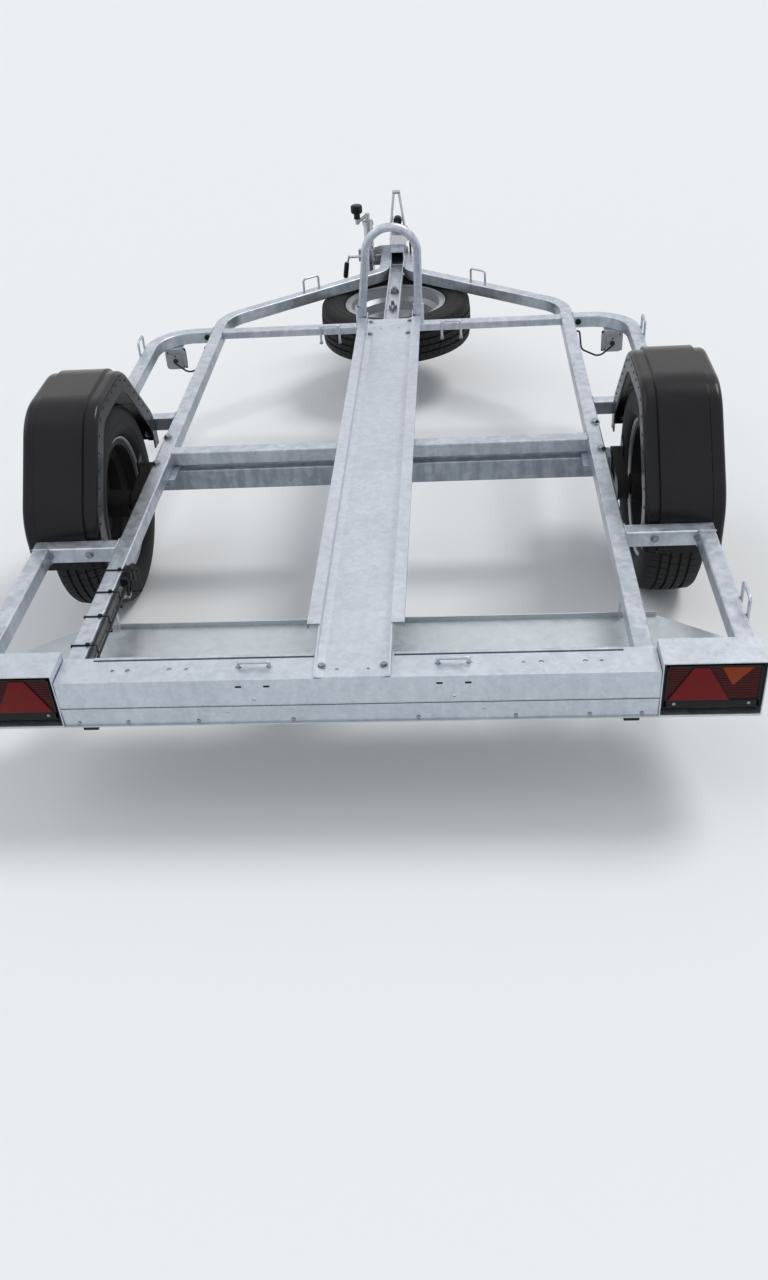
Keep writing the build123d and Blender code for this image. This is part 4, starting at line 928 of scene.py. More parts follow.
@dataclass
class RoadTyre:
    """Tyre with a moulded sidewall, five ribs cut into blocks, wheel bolts and a valve."""

    outer: float = 0.2735
    base: float = 0.2668
    crown_drop: float = 0.0041
    tread_half: float = 0.062
    blocks: int = 66
    gap: float = 0.0020
    sunk: float = 0.003
    skew: float = 0.28
    ribs: tuple[Pair, ...] = ((-0.0325, -0.0160), (-0.0090, 0.0090), (0.0160, 0.0325))
    shoulder: Point = (0.0395, 0.0610, 0.0690)
    shoulder_foot: Pair = (0.001, 0.004)
    wall: tuple[Pair, ...] = (
        (0.0530, 0.1655), (0.0535, 0.1810), (0.0590, 0.1848), (0.0640, 0.1880), (0.0700, 0.1925), (0.0740, 0.1990),
        (0.0757, 0.2050), (0.0745, 0.2062), (0.0768, 0.2100), (0.0783, 0.2190), (0.0785, 0.2280), (0.0772, 0.2292),
        (0.0778, 0.2400), (0.0755, 0.2510), (0.0700, 0.2600), (0.0640, 0.2650), (0.0600, 0.2662))
    bolts: int = 4
    bolt_head: Point = (0.0105, 0.011, 0.0125)
    bolt_circle: float = 0.049
    seat: float = 0.030
    valve_circle: float = 0.150
    valve_turn: float = 2.2
    valve_sunk: float = 0.004
    valve_rows: tuple[Pair, ...] = (
        (0.0, 0.0), (0.0, 0.0075), (0.004, 0.0075), (0.008, 0.0045), (0.024, 0.0040), (0.024, 0.0048),
        (0.034, 0.0048), (0.036, 0.0036), (0.036, 0.0))

    def top(self, across: float) -> float:
        """Returns the tread's radius at a place across it."""
        return self.outer - self.crown_drop * (across / self.tread_half) ** 2

    def carcass(self) -> Mesh:
        """Returns the tyre below its tread blocks, with its sidewall lines."""
        return lathe([*self.wall, (0.0, self.base), *mirrored(self.wall)], segments=144, closed=True)

    def tread_ring(self, outline: Sequence[Pair], lean: float, phase: float) -> Mesh:
        """Makes one rib as a ring of blocks.

        Args:
            outline: A block's section as place across and radius.
            lean: How far a block's sides run along the tread for each step across.
            phase: The turn of the first block.

        Returns:
            The ring.
        """
        half = math.pi * self.outer / self.blocks - self.gap / 2
        shape = prism(outline, -half, half)
        shear = Matrix.Identity(4)
        shear[1][0] = lean
        shape.transform(shear)
        return ring_of(shape, Finish.TREAD, self.blocks, phase)

    def tread(self) -> list[Mesh]:
        """Makes the three middle ribs and both shoulders.

        Returns:
            The ribs.
        """
        low = self.base - self.sunk
        rings = []
        for number, (inner, outer) in enumerate(self.ribs):
            outline = [(inner, low), (outer, low), (outer, self.top(outer)), (inner, self.top(inner))]
            rings.append(self.tread_ring(outline, self.skew * (1 if number % 2 else -1), 0.0))
        inner, edge, reach = self.shoulder
        in_by, down_by = self.shoulder_foot
        outline = [(inner, low), (reach - in_by, low - down_by), (reach, low), (edge, self.top(edge)),
                   (inner, self.top(inner))]
        for sign in (1, -1):
            rings.append(self.tread_ring([(sign * x, radius) for x, radius in outline], 0.0, math.pi / self.blocks))
        return rings

    def build(self, name: str, body: str, node: str, place: Matrix) -> None:
        """Builds one wheel's tyre and small parts.

        Args:
            name: The name of the wheel.
            body: The body that it rides on.
            node: The plain tyre that it replaces.
            place: Where the wheel is.
        """
        tyre = Gather(f"{name}_tyre", body)
        for shape in (self.carcass(), *self.tread()):
            tyre.put(shape, Finish.TREAD, place)
        tyre.done(node)
        trim = Gather(f"{name}_trim", body)
        head = hex_head(*self.bolt_head)
        head.transform(Matrix.Translation((self.seat, 0.0, self.bolt_circle)))
        trim.put(ring_of(head, Finish.BOLT, self.bolts, math.pi / self.bolts), Finish.BOLT, place)
        valve = lathe(self.valve_rows, segments=16)
        valve.transform(Matrix.Translation((self.seat - self.valve_sunk, 0.0, self.valve_circle)))
        trim.put(valve, Finish.RUBBER, place @ Matrix.Rotation(self.valve_turn, 4, "X"))
        trim.done()

    def build_all(self) -> None:
        """Builds both road wheels and the spare."""
        right = Matrix.Translation(Extent.of("tyre_right").centre)
        spare = Matrix.Translation(Extent.of("spare_tyre").centre) @ Matrix.Rotation(math.pi / 2, 4, "Y")
        self.build("right_wheel", "wheel_right", "tyre_right", right)
        self.build("left_wheel", "wheel_left", "tyre_left", MIRROR @ right)
        self.build("spare_wheel", BODY, "spare_tyre", spare)


@dataclass
class MudguardTrim:
    """Rolled edges, rivets and bolts of the mudguards."""

    middle: float = 0.757
    half: float = 0.095
    bend: float = 0.150
    skirt: float = 0.060
    edge: float = 0.0022
    edge_inset: float = 0.001
    rivet: Pair = (0.0042, 0.0014)
    rivet_depth: float = 0.030
    rivet_pitch: float = 0.044
    bolt_head: Point = (0.0075, 0.0055, 0.0105)
    line: tuple[Pair, ...] = (
        (0.571, 0.280), (0.571, 0.410), (0.763, 0.633), (1.030, 0.633), (1.257, 0.388), (1.257, 0.300))
    bolts: tuple[Point, ...] = (
        (0.680, 0.531, 0.347), (0.780, 0.531, 0.347), (0.693, 1.254, 0.317), (0.800, 1.254, 0.317))

    def below_crown(self, across: float, depth: float) -> list[Station]:
        """Follows the guard's curve.

        Args:
            across: Place across the guard, from its middle.
            depth: Distance below its crown.

        Returns:
            Stations from its rear foot to its front foot.
        """
        corners = [spot(self.middle + across, y, z) for y, z in self.line]
        return [Station(station.place + Vector((0.0, station.ahead.z, -station.ahead.y)) * depth, station.ahead)
                for station in round_path(corners, self.bend, step=0.012)]

    def rivets(self) -> list[Vector]:
        """Spaces the rivets along the inner skirt.

        Returns:
            Their places.
        """
        stations = self.below_crown(-self.half, self.rivet_depth)
        places, reach = [], self.rivet_pitch / 2
        for first, second in zip(stations, stations[1:]):
            run = second.place - first.place
            while reach < run.length:
                places.append(first.place + run.normalized() * reach)
                reach += self.rivet_pitch
            reach -= run.length
        return places

    def build(self) -> None:
        """Builds the trim of both guards."""
        trim = Gather("mudguard_trim")
        for across in (-self.half + self.edge, self.half - self.edge):
            line = self.below_crown(across, self.skirt - self.edge_inset)
            trim.put_both(tube(line, self.edge, sides=8), Finish.GUARD)
        trim.repeat(dome_head(*self.rivet), Finish.PLASTIC, self.rivets(), INWARDS)
        trim.repeat(hex_head(*self.bolt_head), Finish.BOLT, [spot(*place) for place in self.bolts], BACK)
        trim.done()


@dataclass
class FrameHardware:
    """Bolts, grommets, rivets, slots, fold lines and the channel's lip on the frame, with painted light: black plates
    painted as the shade in the slots, a bright and a dark strip painted as the fold's highlight and shadow, and a
    black line painted as the shadow beside the lip.
    """

    rail_head: Point = (0.0100, 0.0075, 0.0135)
    rail_bolts: tuple[Point, ...] = ((0.601, 0.965, 0.365), (0.601, 1.126, 0.365))
    channel_head: Point = (0.0066, 0.0045, 0.0090)
    channel_bolts: tuple[Point, ...] = ((0.064, 0.036, 0.3688), (0.063, 1.840, 0.3688), (0.0655, 1.948, 0.3688))
    web_rivet: Pair = (0.0042, 0.0018)
    web_rivets: tuple[Point, ...] = tuple((x, 0.002, 0.257) for x in (0.130, 0.330, 0.480, 0.585))
    strap_rivet: Pair = (0.0050, 0.0020)
    strap_rivets: tuple[Point, ...] = ((0.5798, 0.3566, 0.256),)
    fold: float = 0.300
    fold_half: float = 0.6170
    fold_proud: float = 0.0001
    fold_size: Pair = (0.0008, 0.0022)
    # Painted highlight and painted shadow along the fold: each strip's drop below the fold and its finish
    fold_lines: tuple[tuple[float, Finish], ...] = ((0.0, Finish.BRIGHT), (0.0024, Finish.SHADOW))
    lip: Pair = (0.0830, 0.5500)
    # The lip in zinc, then a thin black line painted as the shadow beside it: Y, Z, width, height and finish of each
    lip_parts: tuple[tuple[float, float, float, float, Finish], ...] = (
        (0.0796, 0.3660, 0.0084, 0.0024, Finish.TUBE), (0.0736, 0.3651, 0.0024, 0.0005, Finish.PLASTIC))
    # Painted shade: thin black plates on the web stand for the dark insides of its slots
    slot: Point = (0.0130, 0.0012, 0.0050)
    slots: tuple[Point, ...] = ((0.176, 0.0004, 0.3475), (0.234, 0.0004, 0.3475))
    grommet: tuple[Pair, ...] = (
        (0.0, 0.0), (0.0, 0.0100), (0.0018, 0.0100), (0.0030, 0.0085), (0.0030, 0.0060), (0.0004, 0.0056),
        (0.0004, 0.0))
    grommets: tuple[Point, ...] = ((0.629, 1.932, 0.346),)

    def build(self) -> None:
        """Builds the hardware of both sides."""
        gather = Gather("frame_bolts")
        for head, places, turn in (
            (hex_head(*self.rail_head), self.rail_bolts, UP),
            (hex_head(*self.channel_head), self.channel_bolts, UP),
            (dome_head(*self.web_rivet), self.web_rivets, BACK),
            (dome_head(*self.strap_rivet), self.strap_rivets, AHEAD),
        ):
            gather.repeat(head, Finish.BOLT, [spot(*place) for place in places], turn)
        # A bright strip and a dark strip: the fold's painted highlight and painted shadow
        for drop, finish in self.fold_lines:
            line = block((2 * self.fold_half, *self.fold_size), bevel=0.0002)
            gather.put(line, finish, Matrix.Translation(spot(0.0, self.fold_proud, self.fold - drop)))
        # The lip and its painted shadow line
        near, far = self.lip
        for y, z, width, height, finish in self.lip_parts:
            strip = block((far - near, width, height), bevel=height * 0.3)
            gather.put_both(strip, finish, Matrix.Translation(spot((near + far) / 2, y, z)))
        # Painted shade in the web's slots
        gather.repeat(block(self.slot, bevel=0.0003), Finish.PLASTIC, [spot(*place) for place in self.slots])
        gather.repeat(lathe(self.grommet, segments=24), Finish.RUBBER, [spot(*place) for place in self.grommets],
                      BACK)
        gather.done()


@dataclass
class Hoop:
    """Wheel hoop, a little narrower than its sleeves and leaning like the real one."""

    feet: Pair = (-0.0925, 0.0965)
    middle: float = 0.0150
    arch_half: float = 0.0850
    place_y: float = 1.945
    lean_y: float = 0.010
    low: float = 0.3652
    leave: float = 0.4120
    top: float = 0.6936
    radius: float = 0.0138
    leg_bend: float = 0.25
    arch_steps: int = 36

    @property
    def spring(self) -> float:
        """Returns the height at which the arch starts."""
        return self.top - self.radius - self.arch_half

    def leg(self, foot: float, side: int) -> list[Station]:
        """Runs one leg from its foot to the arch.

        Args:
            foot: The foot's place across the trailer.
            side: 1 for the right leg, -1 for the left one.

        Returns:
            The leg's stations.
        """
        corners = [spot(foot, self.place_y, self.low), spot(foot, self.place_y, self.leave),
                   spot(self.middle + side * self.arch_half, self.place_y + self.lean_y, self.spring)]
        return round_path(corners, self.leg_bend, step=0.006)[:-1]

    def build(self) -> None:
        """Builds the hoop in place of the plain one."""
        path = self.leg(self.feet[0], -1)
        for step in range(self.arch_steps + 1):
            turn = math.pi * step / self.arch_steps
            place = spot(self.middle - self.arch_half * math.cos(turn), self.place_y + self.lean_y,
                         self.spring + self.arch_half * math.sin(turn))
            path.append(Station(place, Vector((math.sin(turn), 0.0, math.cos(turn)))))
        path += [Station(station.place, -station.ahead) for station in reversed(self.leg(self.feet[1], 1))]
        gather = Gather("hoop_bar")
        gather.put(tube(path, self.radius, sides=28), Finish.TUBE)
        gather.done("hoop")


@dataclass(frozen=True)
class LashingLoop:
    """One bent rod loop on the right side."""

    x: float
    y: float
    turn: float
    low: float
    high: float
    guide: bool = False


@dataclass
class LashingLoops:
    """Sliding rod loops: the standing ones and those pushed down, with the nuts on their ends."""

    rod: float = 0.0040
    half: float = 0.0320
    bend: float = 0.0096
    nut: Pair = (0.0070, 0.0056)
    loops: tuple[LashingLoop, ...] = (
        LashingLoop(0.205, 0.044, 0.0, 0.3660, 0.3770),
        LashingLoop(0.205, 1.9178, 0.0, 0.3180, 0.3730, True),
        LashingLoop(0.303, 2.3056, -37.98, 0.3660, 0.4120),
        LashingLoop(0.823, 0.225, 90.0, 0.3350, 0.4030, True),
        LashingLoop(0.823, 1.795, 90.0, 0.3350, 0.4030, True),
    )

    def build(self) -> None:
        """Builds every loop in place of the plain ones."""
        gather = Gather("lashing_loop_rods")
        for loop in self.loops:
            turn = Matrix.Rotation(math.radians(loop.turn), 4, "Z")
            corners = [Vector((x, 0.0, z)) for x, z in ((-self.half, loop.low), (-self.half, loop.high),
                                                        (self.half, loop.high), (self.half, loop.low))]
            bend = min(self.bend, (loop.high - loop.low) / 2)
            rod = tube(round_path(corners, bend, step=0.002), self.rod, sides=12)
            rod.transform(Matrix.Translation(spot(loop.x, loop.y, 0.0)) @ turn)
            gather.put_both(rod, Finish.TUBE)
            if loop.guide:
                ends = [spot(loop.x, loop.y, loop.low) + turn @ Vector((sign * self.half, 0.0, 0.0))
                        for sign in (1, -1)]
                gather.repeat(hex_head(*self.nut), Finish.BOLT, ends, DOWN)
        gather.done("lashing_loops")


@dataclass(frozen=True)
class Joint:
    """Where a tube meets a face that looks sideways: the face's place, the tube's rear, front and underside."""

    x: float
    near: float
    far: float
    low: float


@dataclass
class WeldSeams:
    """Weld beads where tubes and loops meet."""

    bead: float = 0.0021
    bead_shares: tuple[Pair, ...] = ((-1.1, 0.0), (-0.7, 0.75), (0.0, 1.0), (0.7, 0.75), (1.1, 0.0))
    spacing: float = 0.0034
    uneven: Pair = (0.8, 1.15)
    top: float = 0.365
    low: float = 0.325
    joints: tuple[Joint, ...] = (
        Joint(0.572, 1.027, 1.067, 0.325), Joint(0.572, 1.922, 1.962, 0.340), Joint(0.612, 0.531, 0.571, 0.325),
        Joint(0.612, 1.257, 1.297, 0.325), Joint(0.612, 1.932, 1.972, 0.325))
    bar: Pair = (0.779, 0.819)
    bar_ends: Point = (0.084, 0.531, 1.297)
    beam_seams: tuple[tuple[Point, Point], ...] = (
        ((0.025, 2.520, 0.365), (0.025, 2.618, 0.365)), ((0.025, 2.624, 0.365), (0.025, 2.684, 0.365)),
        ((0.0, 1.962, 0.341), (0.025, 1.962, 0.341)))
    pad: Pair = (0.556, 0.610)
    pad_edges: Pair = (0.947, 1.143)
    sleeve: Point = (0.0965, 1.945, 0.018)
    sleeve_steps: int = 24
    loop_half: float = 0.032
    loop_bead_half: float = 0.005
    loops: tuple[Pair, ...] = ((0.205, 0.044), (0.205, 1.942))

    def seams(self) -> list[tuple[Point, Point]]:
        """Lists the right side's seams.

        Returns:
            Each seam's two ends.
        """
        top, low = self.top, self.low
        seams = []
        for joint in self.joints:
            x, near, far = joint.x, joint.near, joint.far
            seams += [((x, near, top), (x, far, top)), ((x, near, joint.low), (x, near, top)),
                      ((x, far, joint.low), (x, far, top))]
        inner, outer = self.bar
        for y in self.bar_ends:
            seams += [((inner, y, top), (outer, y, top)), ((inner, y, low), (inner, y, top))]
        seams += self.beam_seams
        seams += [((self.pad[0], y, low), (self.pad[1], y, low)) for y in self.pad_edges]
        for x, y in self.loops:
            for foot in (x - self.loop_half, x + self.loop_half):
                seams.append(((foot - self.loop_bead_half, y, top), (foot + self.loop_bead_half, y, top)))
        return seams

    def sleeve_ring(self) -> list[Vector]:
        """Returns points round a hoop sleeve's foot."""
        x, y, radius = self.sleeve
        turns = [WHOLE_TURN * step / self.sleeve_steps for step in range(self.sleeve_steps + 1)]
        return [spot(x + radius * math.cos(t), y + radius * math.sin(t), self.top) for t in turns]

    def build(self) -> None:
        """Lays every bead on both sides."""
        bead = lathe([(self.bead * along, self.bead * out) for along, out in self.bead_shares], segments=8)
        gather = Gather("weld_seams")
        lines = [[spot(*start), spot(*end)] for start, end in self.seams()] + [self.sleeve_ring()]
        least, most = self.uneven
        for number, line in enumerate(lines):
            values = {"Spacing": self.spacing, "Least": least, "Most": most, "Seed": number}
            gather.put_both(PATH.grow(line_mesh(line), bead, Finish.WELD, values), Finish.WELD)
        gather.done()


@dataclass
class TailLamp:
    """Details on the face of each tail lamp."""

    left: float = 0.6265
    right: float = 0.8145
    low: float = 0.271
    high: float = 0.3755
    face: float = 0.004
    sunk: float = 0.001
    strip: float = 0.017
    rim: float = 0.0045
    rim_proud: float = 0.0018
    flute: Pair = (0.0012, 0.0030)
    flute_pitch: float = 0.0062
    flute_inset: float = 0.008
    screw: Pair = (0.0038, 0.0016)
    screw_inset: float = 0.020
    triangle_middle: float = 0.6935
    triangle_half: float = 0.0600
    triangle_top: float = 0.0150
    triangle_low: float = 0.2895
    triangle_high: float = 0.3710
    triangle_rim: float = 0.0014
    triangle_slant: float = 1.7
    rim_raise: float = 0.0020
    triangle_raise: float = 0.0032
    amber_raise: float = 0.0026
    amber: tuple[Pair, ...] = ((0.7580, 0.3260), (0.7960, 0.3710), (0.7330, 0.3710))

    def triangle(self, grow: float) -> list[Pair]:
        """Draws the reflector, cut off at the top.

        Args:
            grow: The width by which it is grown all round.

        Returns:
            Its outline.
        """
        middle, low, high = self.triangle_middle, self.triangle_low - grow, self.triangle_high
        foot, top = self.triangle_half + grow * self.triangle_slant, self.triangle_top + grow
        return [(middle - foot, low), (middle + foot, low), (middle + top, high), (middle - top, high)]

    def raised(self, outline: Sequence[Pair], proud: float, bevel: float = 0.0004) -> Mesh:
        """Makes a flat detail that stands proud of the lamp's face."""
        return prism(outline, self.face - proud - TAIL, self.face + self.sunk - TAIL, bevel)

    def build(self) -> None:
        """Builds the details of both lamps."""
        left, right, low, high = self.left, self.right, self.low, self.high
        gather = Gather("tail_lamp_faces")
        count = int((high - low - self.strip) / self.flute_pitch)
        places = [spot((left + right) / 2, self.face, low + self.strip + self.flute_pitch * (index + 0.5))
                  for index in range(count)]
        flute = block((right - left - self.flute_inset, *self.flute), bevel=0.0005)
        gather.repeat(flute, Finish.RED, places)
        for x0, x1, z0, z1 in ((left, right, high - self.rim, high), (left, left + self.rim, low, high),
                               (right - self.rim, right, low, high), (left, right, low, low + self.strip)):
            band = self.raised([(x0, z0), (x1, z0), (x1, z1), (x0, z1)], self.rim_proud)
            gather.put_both(band, Finish.PLASTIC)
        gather.put_both(self.raised(self.triangle(self.triangle_rim), self.rim_raise), Finish.PLASTIC)
        gather.put_both(self.raised(self.triangle(0.0), self.triangle_raise, bevel=0.0006), Finish.REFLECTOR)
        gather.put_both(self.raised(self.amber, self.amber_raise, bevel=0.0006), Finish.AMBER)
        screws = [spot(x, self.face - self.rim_proud, low + self.strip / 2)
                  for x in (left + self.screw_inset, right - self.screw_inset)]
        gather.repeat(dome_head(*self.screw), Finish.BOLT, screws, BACK)
        gather.done()


@dataclass
class MarkerLamp:
    """Gasket, lens, raised back, gland and screws of the front marker lamps."""

    side: float = 0.068
    gasket: Point = (0.070, 0.004, 0.0015)
    lens: Point = (0.058, 0.007, 0.003)
    lens_out: float = 0.002
    back: Point = (0.040, 0.005, 0.0020)
    back_out: float = 0.001
    gland_out: float = 0.003
    gland_share: float = 0.55
    gland: tuple[Pair, ...] = ((0.0, 0.0), (0.0, 0.0080), (0.008, 0.0072), (0.014, 0.0046), (0.017, 0.0032))
    screw: Pair = (0.0030, 0.0014)
    screw_share: float = 0.36
    middle_screw: Pair = (0.0035, 0.013)

    def build(self) -> None:
        """Builds the details of both lamps."""
        extent = Extent.of("marker_lamps")
        x, z = extent.high.x - self.side / 2, extent.centre.z
        front, rear = extent.high.y, extent.low.y
        gather = Gather("marker_lamp_details")
        for (side, depth, bevel), y, finish in (
            (self.gasket, extent.centre.y, Finish.RUBBER), (self.lens, front + self.lens_out, Finish.CLEAR),
            (self.back, rear - self.back_out, Finish.GREY),
        ):
            gather.put_both(block((side, depth, side), bevel), finish, Matrix.Translation((x, y, z)))
        cable = Vector((x, rear - self.gland_out, extent.high.z - self.side * self.gland_share))
        gather.put_both(lathe(self.gland, segments=18), Finish.RUBBER, at(cable, BACK))
        reach = self.side * self.screw_share
        screws = [Vector((x + sign * reach, rear, z + sign * reach)) for sign in (1, -1)]
        out, up = self.middle_screw
        screws.append(Vector((x, rear - out, z + up)))
        gather.repeat(dome_head(*self.screw), Finish.PLASTIC, screws, BACK)
        gather.done()


@dataclass(frozen=True)
class ConnectorBody:
    """One connector: its place from the low corner of the cluster's box, and its size."""

    x: float
    z: float
    start: float
    length: float
    width: float
    height: float


@dataclass
class Wiring:
    """Ribs of the conduit, heads and tails of the ties, and the connectors on the left rail."""

    conduit: tuple[Point, ...] = ((-0.5652, 0.372, 0.350), (-0.5652, 0.098, 0.350), (-0.5572, 0.044, 0.328))
    bend: float = 0.060
    rib: tuple[Pair, ...] = ((-0.0012, 0.0062), (-0.0008, 0.0071), (0.0008, 0.0071), (0.0012, 0.0062))
    rib_pitch: float = 0.0036
    beside: Pair = (0.0095, -0.0065)
    cable: float = 0.0030
    ties: tuple[float, ...] = (0.131, 0.239, 0.336, 0.429)
    tie_x: float = -0.577
    tie_z: float = 0.3669 + 0.0020
    tie_head: Point = (0.0080, 0.0066, 0.0046)
    tie_tail: Point = (0.0210, 0.0030, 0.0012)
    tie_tail_shift: Point = (0.0115, 0.0, 0.0042)
    tie_lean: Pair = (24.0, 9.0)
    bodies: tuple[ConnectorBody, ...] = (
        ConnectorBody(0.0095, 0.040, 0.028, 0.062, 0.017, 0.023),
        ConnectorBody(0.0110, 0.019, 0.038, 0.048, 0.016, 0.016))
    band_shares: tuple[float, ...] = (-0.32, -0.22, -0.12, 0.18, 0.30)
    band_width: float = 0.0022
    band_grow: float = 0.0024
    latch_shares: Pair = (0.5, 0.34)
    latch_height: float = 0.0036
    latch_ahead: float = 0.002
    boot_shares: Pair = (0.40, 0.36)
    boot_tip: tuple[Pair, ...] = ((0.016, 0.0042), (0.018, 0.0))
    boot_rim: float = 0.008
    lead_reaches: Pair = (0.016, 0.024)
    lead_start: Pair = (0.010, 0.006)
    lead_bend: float = 0.008
    shell: Point = (0.0070, 0.0180, 0.0060)
    shell_places: tuple[Point, ...] = ((0.002, 0.006, 0.020), (0.002, 0.018, 0.013))
    top_lead: tuple[Point, ...] = (
        (0.006, 0.024, 0.010), (0.010, 0.004, 0.004), (0.020, 0.008, 0.014), (0.014, 0.030, 0.022))
    top_lead_bend: float = 0.007

    def conduit_pieces(self, gather: Gather) -> None:
        """Adds the conduit's ribs and the cable beside it.

        Args:
            gather: The piece to add to.
        """
        path = round_path([spot(*corner) for corner in self.conduit], self.bend, step=0.006)
        line = line_mesh([station.place for station in path])
        gather.put(PATH.grow(line, lathe(self.rib, segments=16), Finish.CONDUIT,
                             {"Spacing": self.rib_pitch, "Seed": 3}), Finish.CONDUIT)
        aside, lower = self.beside
        beside = [spot(x + aside, y, z + lower) for x, y, z in self.conduit]
        gather.put(tube(round_path(beside, self.bend, step=0.006), self.cable, sides=12), Finish.SHEATH)

    def tie_pieces(self, gather: Gather) -> None:
        """Adds each tie's head and cut tail.

        Args:
            gather: The piece to add to.
        """
        head, tail = block(self.tie_head, bevel=0.0008), block(self.tie_tail, bevel=0.0004)
        first, step = self.tie_lean
        for number, y in enumerate(self.ties):
            place = spot(self.tie_x, y, self.tie_z)
            gather.put(head, Finish.PLASTIC, Matrix.Translation(place))
            lean = Matrix.Rotation(math.radians(first + step * number), 4, "Y")
            shift = Matrix.Translation(place + Vector(self.tie_tail_shift))
            gather.put(tail, Finish.PLASTIC, shift @ lean.inverted())

    def connector(self, gather: Gather, low: Vector, body: ConnectorBody) -> None:
        """Adds one connector with its bands, latch and boot.

        Args:
            gather: The piece to add to.
            low: The low corner of the cluster's box.
            body: The connector.
        """
        length, width, height = body.length, body.width, body.height
        place = Vector((low.x + body.x, low.y + body.start + length / 2, low.z + body.z))
        gather.put(block((width, length, height), bevel=0.0022), Finish.PLASTIC, Matrix.Translation(place))
        band = block((width + self.band_grow, self.band_width, height + self.band_grow), bevel=0.0006)
        bands = marks([place + Vector((0.0, length * share, 0.0)) for share in self.band_shares])
        gather.put(MARKED.grow(bands, band, Finish.PLASTIC), Finish.PLASTIC)
        wide, long = self.latch_shares
        latch = block((width * wide, length * long, self.latch_height), bevel=0.0008)
        gather.put(latch, Finish.PLASTIC, Matrix.Translation(place + Vector((0.0, self.latch_ahead, height / 2))))
        foot, rim = self.boot_shares
        boot = lathe([(0.0, 0.0), (0.0, height * foot), (self.boot_rim, height * rim), *self.boot_tip], segments=16)
        gather.put(boot, Finish.RUBBER, at(place + Vector((0.0, length / 2, 0.0)), AHEAD))

    def cluster(self) -> None:
        """Builds the cluster of connectors with its looped leads."""
        extent = Extent.of("junction")
        low, high = extent.low, extent.high
        gather = Gather("connector_cluster")
        for body in self.bodies:
            self.connector(gather, low, body)
        first, step = self.lead_start
        for number, (reach, shell_place) in enumerate(zip(self.lead_reaches, self.shell_places)):
            start = Vector((low.x + first + step * number, low.y, low.z))
            corners = [start + Vector(shift) for shift in (
                (0.0, 0.030, 0.034), (0.003, reach / 2, 0.016), (0.004, reach, 0.004), (0.0, 0.044, 0.014))]
            lead = tube(round_path(corners, self.lead_bend, step=0.003), self.cable, sides=10)
            gather.put(lead, Finish.SHEATH)
            gather.put(block(self.shell, bevel=0.0010), Finish.BRIGHT,
                       Matrix.Translation(start + Vector(shell_place)))
        corners = [Vector((low.x + x, high.y - y, high.z - z)) for x, y, z in self.top_lead]
        lead = tube(round_path(corners, self.top_lead_bend, step=0.003), self.cable * 0.8, sides=10)
        gather.put(lead, Finish.SHEATH)
        gather.done("junction")

    def build(self) -> None:
        """Builds the wiring's details."""
        gather = Gather("wiring_details")
        self.conduit_pieces(gather)
        self.tie_pieces(gather)
        gather.done()
        self.cluster()


@dataclass
class Coupling:
    """Bolts, pivot nuts, cup lip and box cap of the coupling, and its parked plug."""

    bolt_head: Point = (0.0088, 0.0070, 0.0120)
    bolts: tuple[Point, ...] = ((0.031, 2.700, 0.378), (0.031, 2.722, 0.366))
    pivot_nut: Pair = (0.0080, 0.0050)
    pivots: tuple[Point, ...] = ((0.033, 2.768, 0.436),)
    cup: Point = (0.0, 2.812, 0.3758)
    lip: tuple[Pair, ...] = ((-0.0012, 0.0352), (0.0, 0.0363), (0.0012, 0.0352), (0.0, 0.0341))
    cap: Point = (0.0, 2.722, 0.366)
    cap_size: Point = (0.0436, 0.006, 0.0436)
    plug: Point = (0.0, 2.750, 0.462)
    plug_rear: tuple[Pair, ...] = ((0.0, 0.0), (0.0, 0.0070), (0.004, 0.0095))
    plug_rib: tuple[Pair, ...] = ((0.0, 0.0118), (0.0014, 0.0118), (0.0015, 0.0104), (0.0027, 0.0104))
    plug_ribs: int = 4
    plug_first_rib: float = 0.005
    plug_rib_pitch: float = 0.0028
    plug_front: tuple[Pair, ...] = (
        (0.017, 0.0150), (0.019, 0.0165), (0.036, 0.0165), (0.037, 0.0170), (0.045, 0.0170), (0.046, 0.0160),
        (0.046, 0.0135), (0.041, 0.0130), (0.041, 0.0))

    def plug_body(self) -> Mesh:
        """Returns the plug, ribbed round its grip, with its front rim."""
        starts = [self.plug_first_rib + self.plug_rib_pitch * index for index in range(self.plug_ribs)]
        ribs = [(start + place, radius) for start in starts for place, radius in self.plug_rib]
        return lathe([*self.plug_rear, *ribs, *self.plug_front], segments=32)

    def build(self) -> None:
        """Builds the coupling's details and the plug."""
        gather = Gather("coupling_details")
        gather.repeat(hex_head(*self.bolt_head), Finish.BOLT, [spot(*place) for place in self.bolts], OUTWARDS)
        gather.repeat(hex_head(*self.pivot_nut), Finish.BOLT, [spot(*place) for place in self.pivots], OUTWARDS)
        gather.put(lathe(self.lip, segments=48, closed=True), Finish.BRIGHT,
                   Matrix.Translation(spot(*self.cup)) @ Matrix.Rotation(math.pi / 2, 4, "Y"))
        gather.put(block(self.cap_size, bevel=0.0010), Finish.PLASTIC, Matrix.Translation(spot(*self.cap)))
        gather.done()
        plug = Gather("plug_details")
        plug.put(self.plug_body(), Finish.PLASTIC, at(spot(*self.plug), AHEAD))
        plug.done("parked_plug")


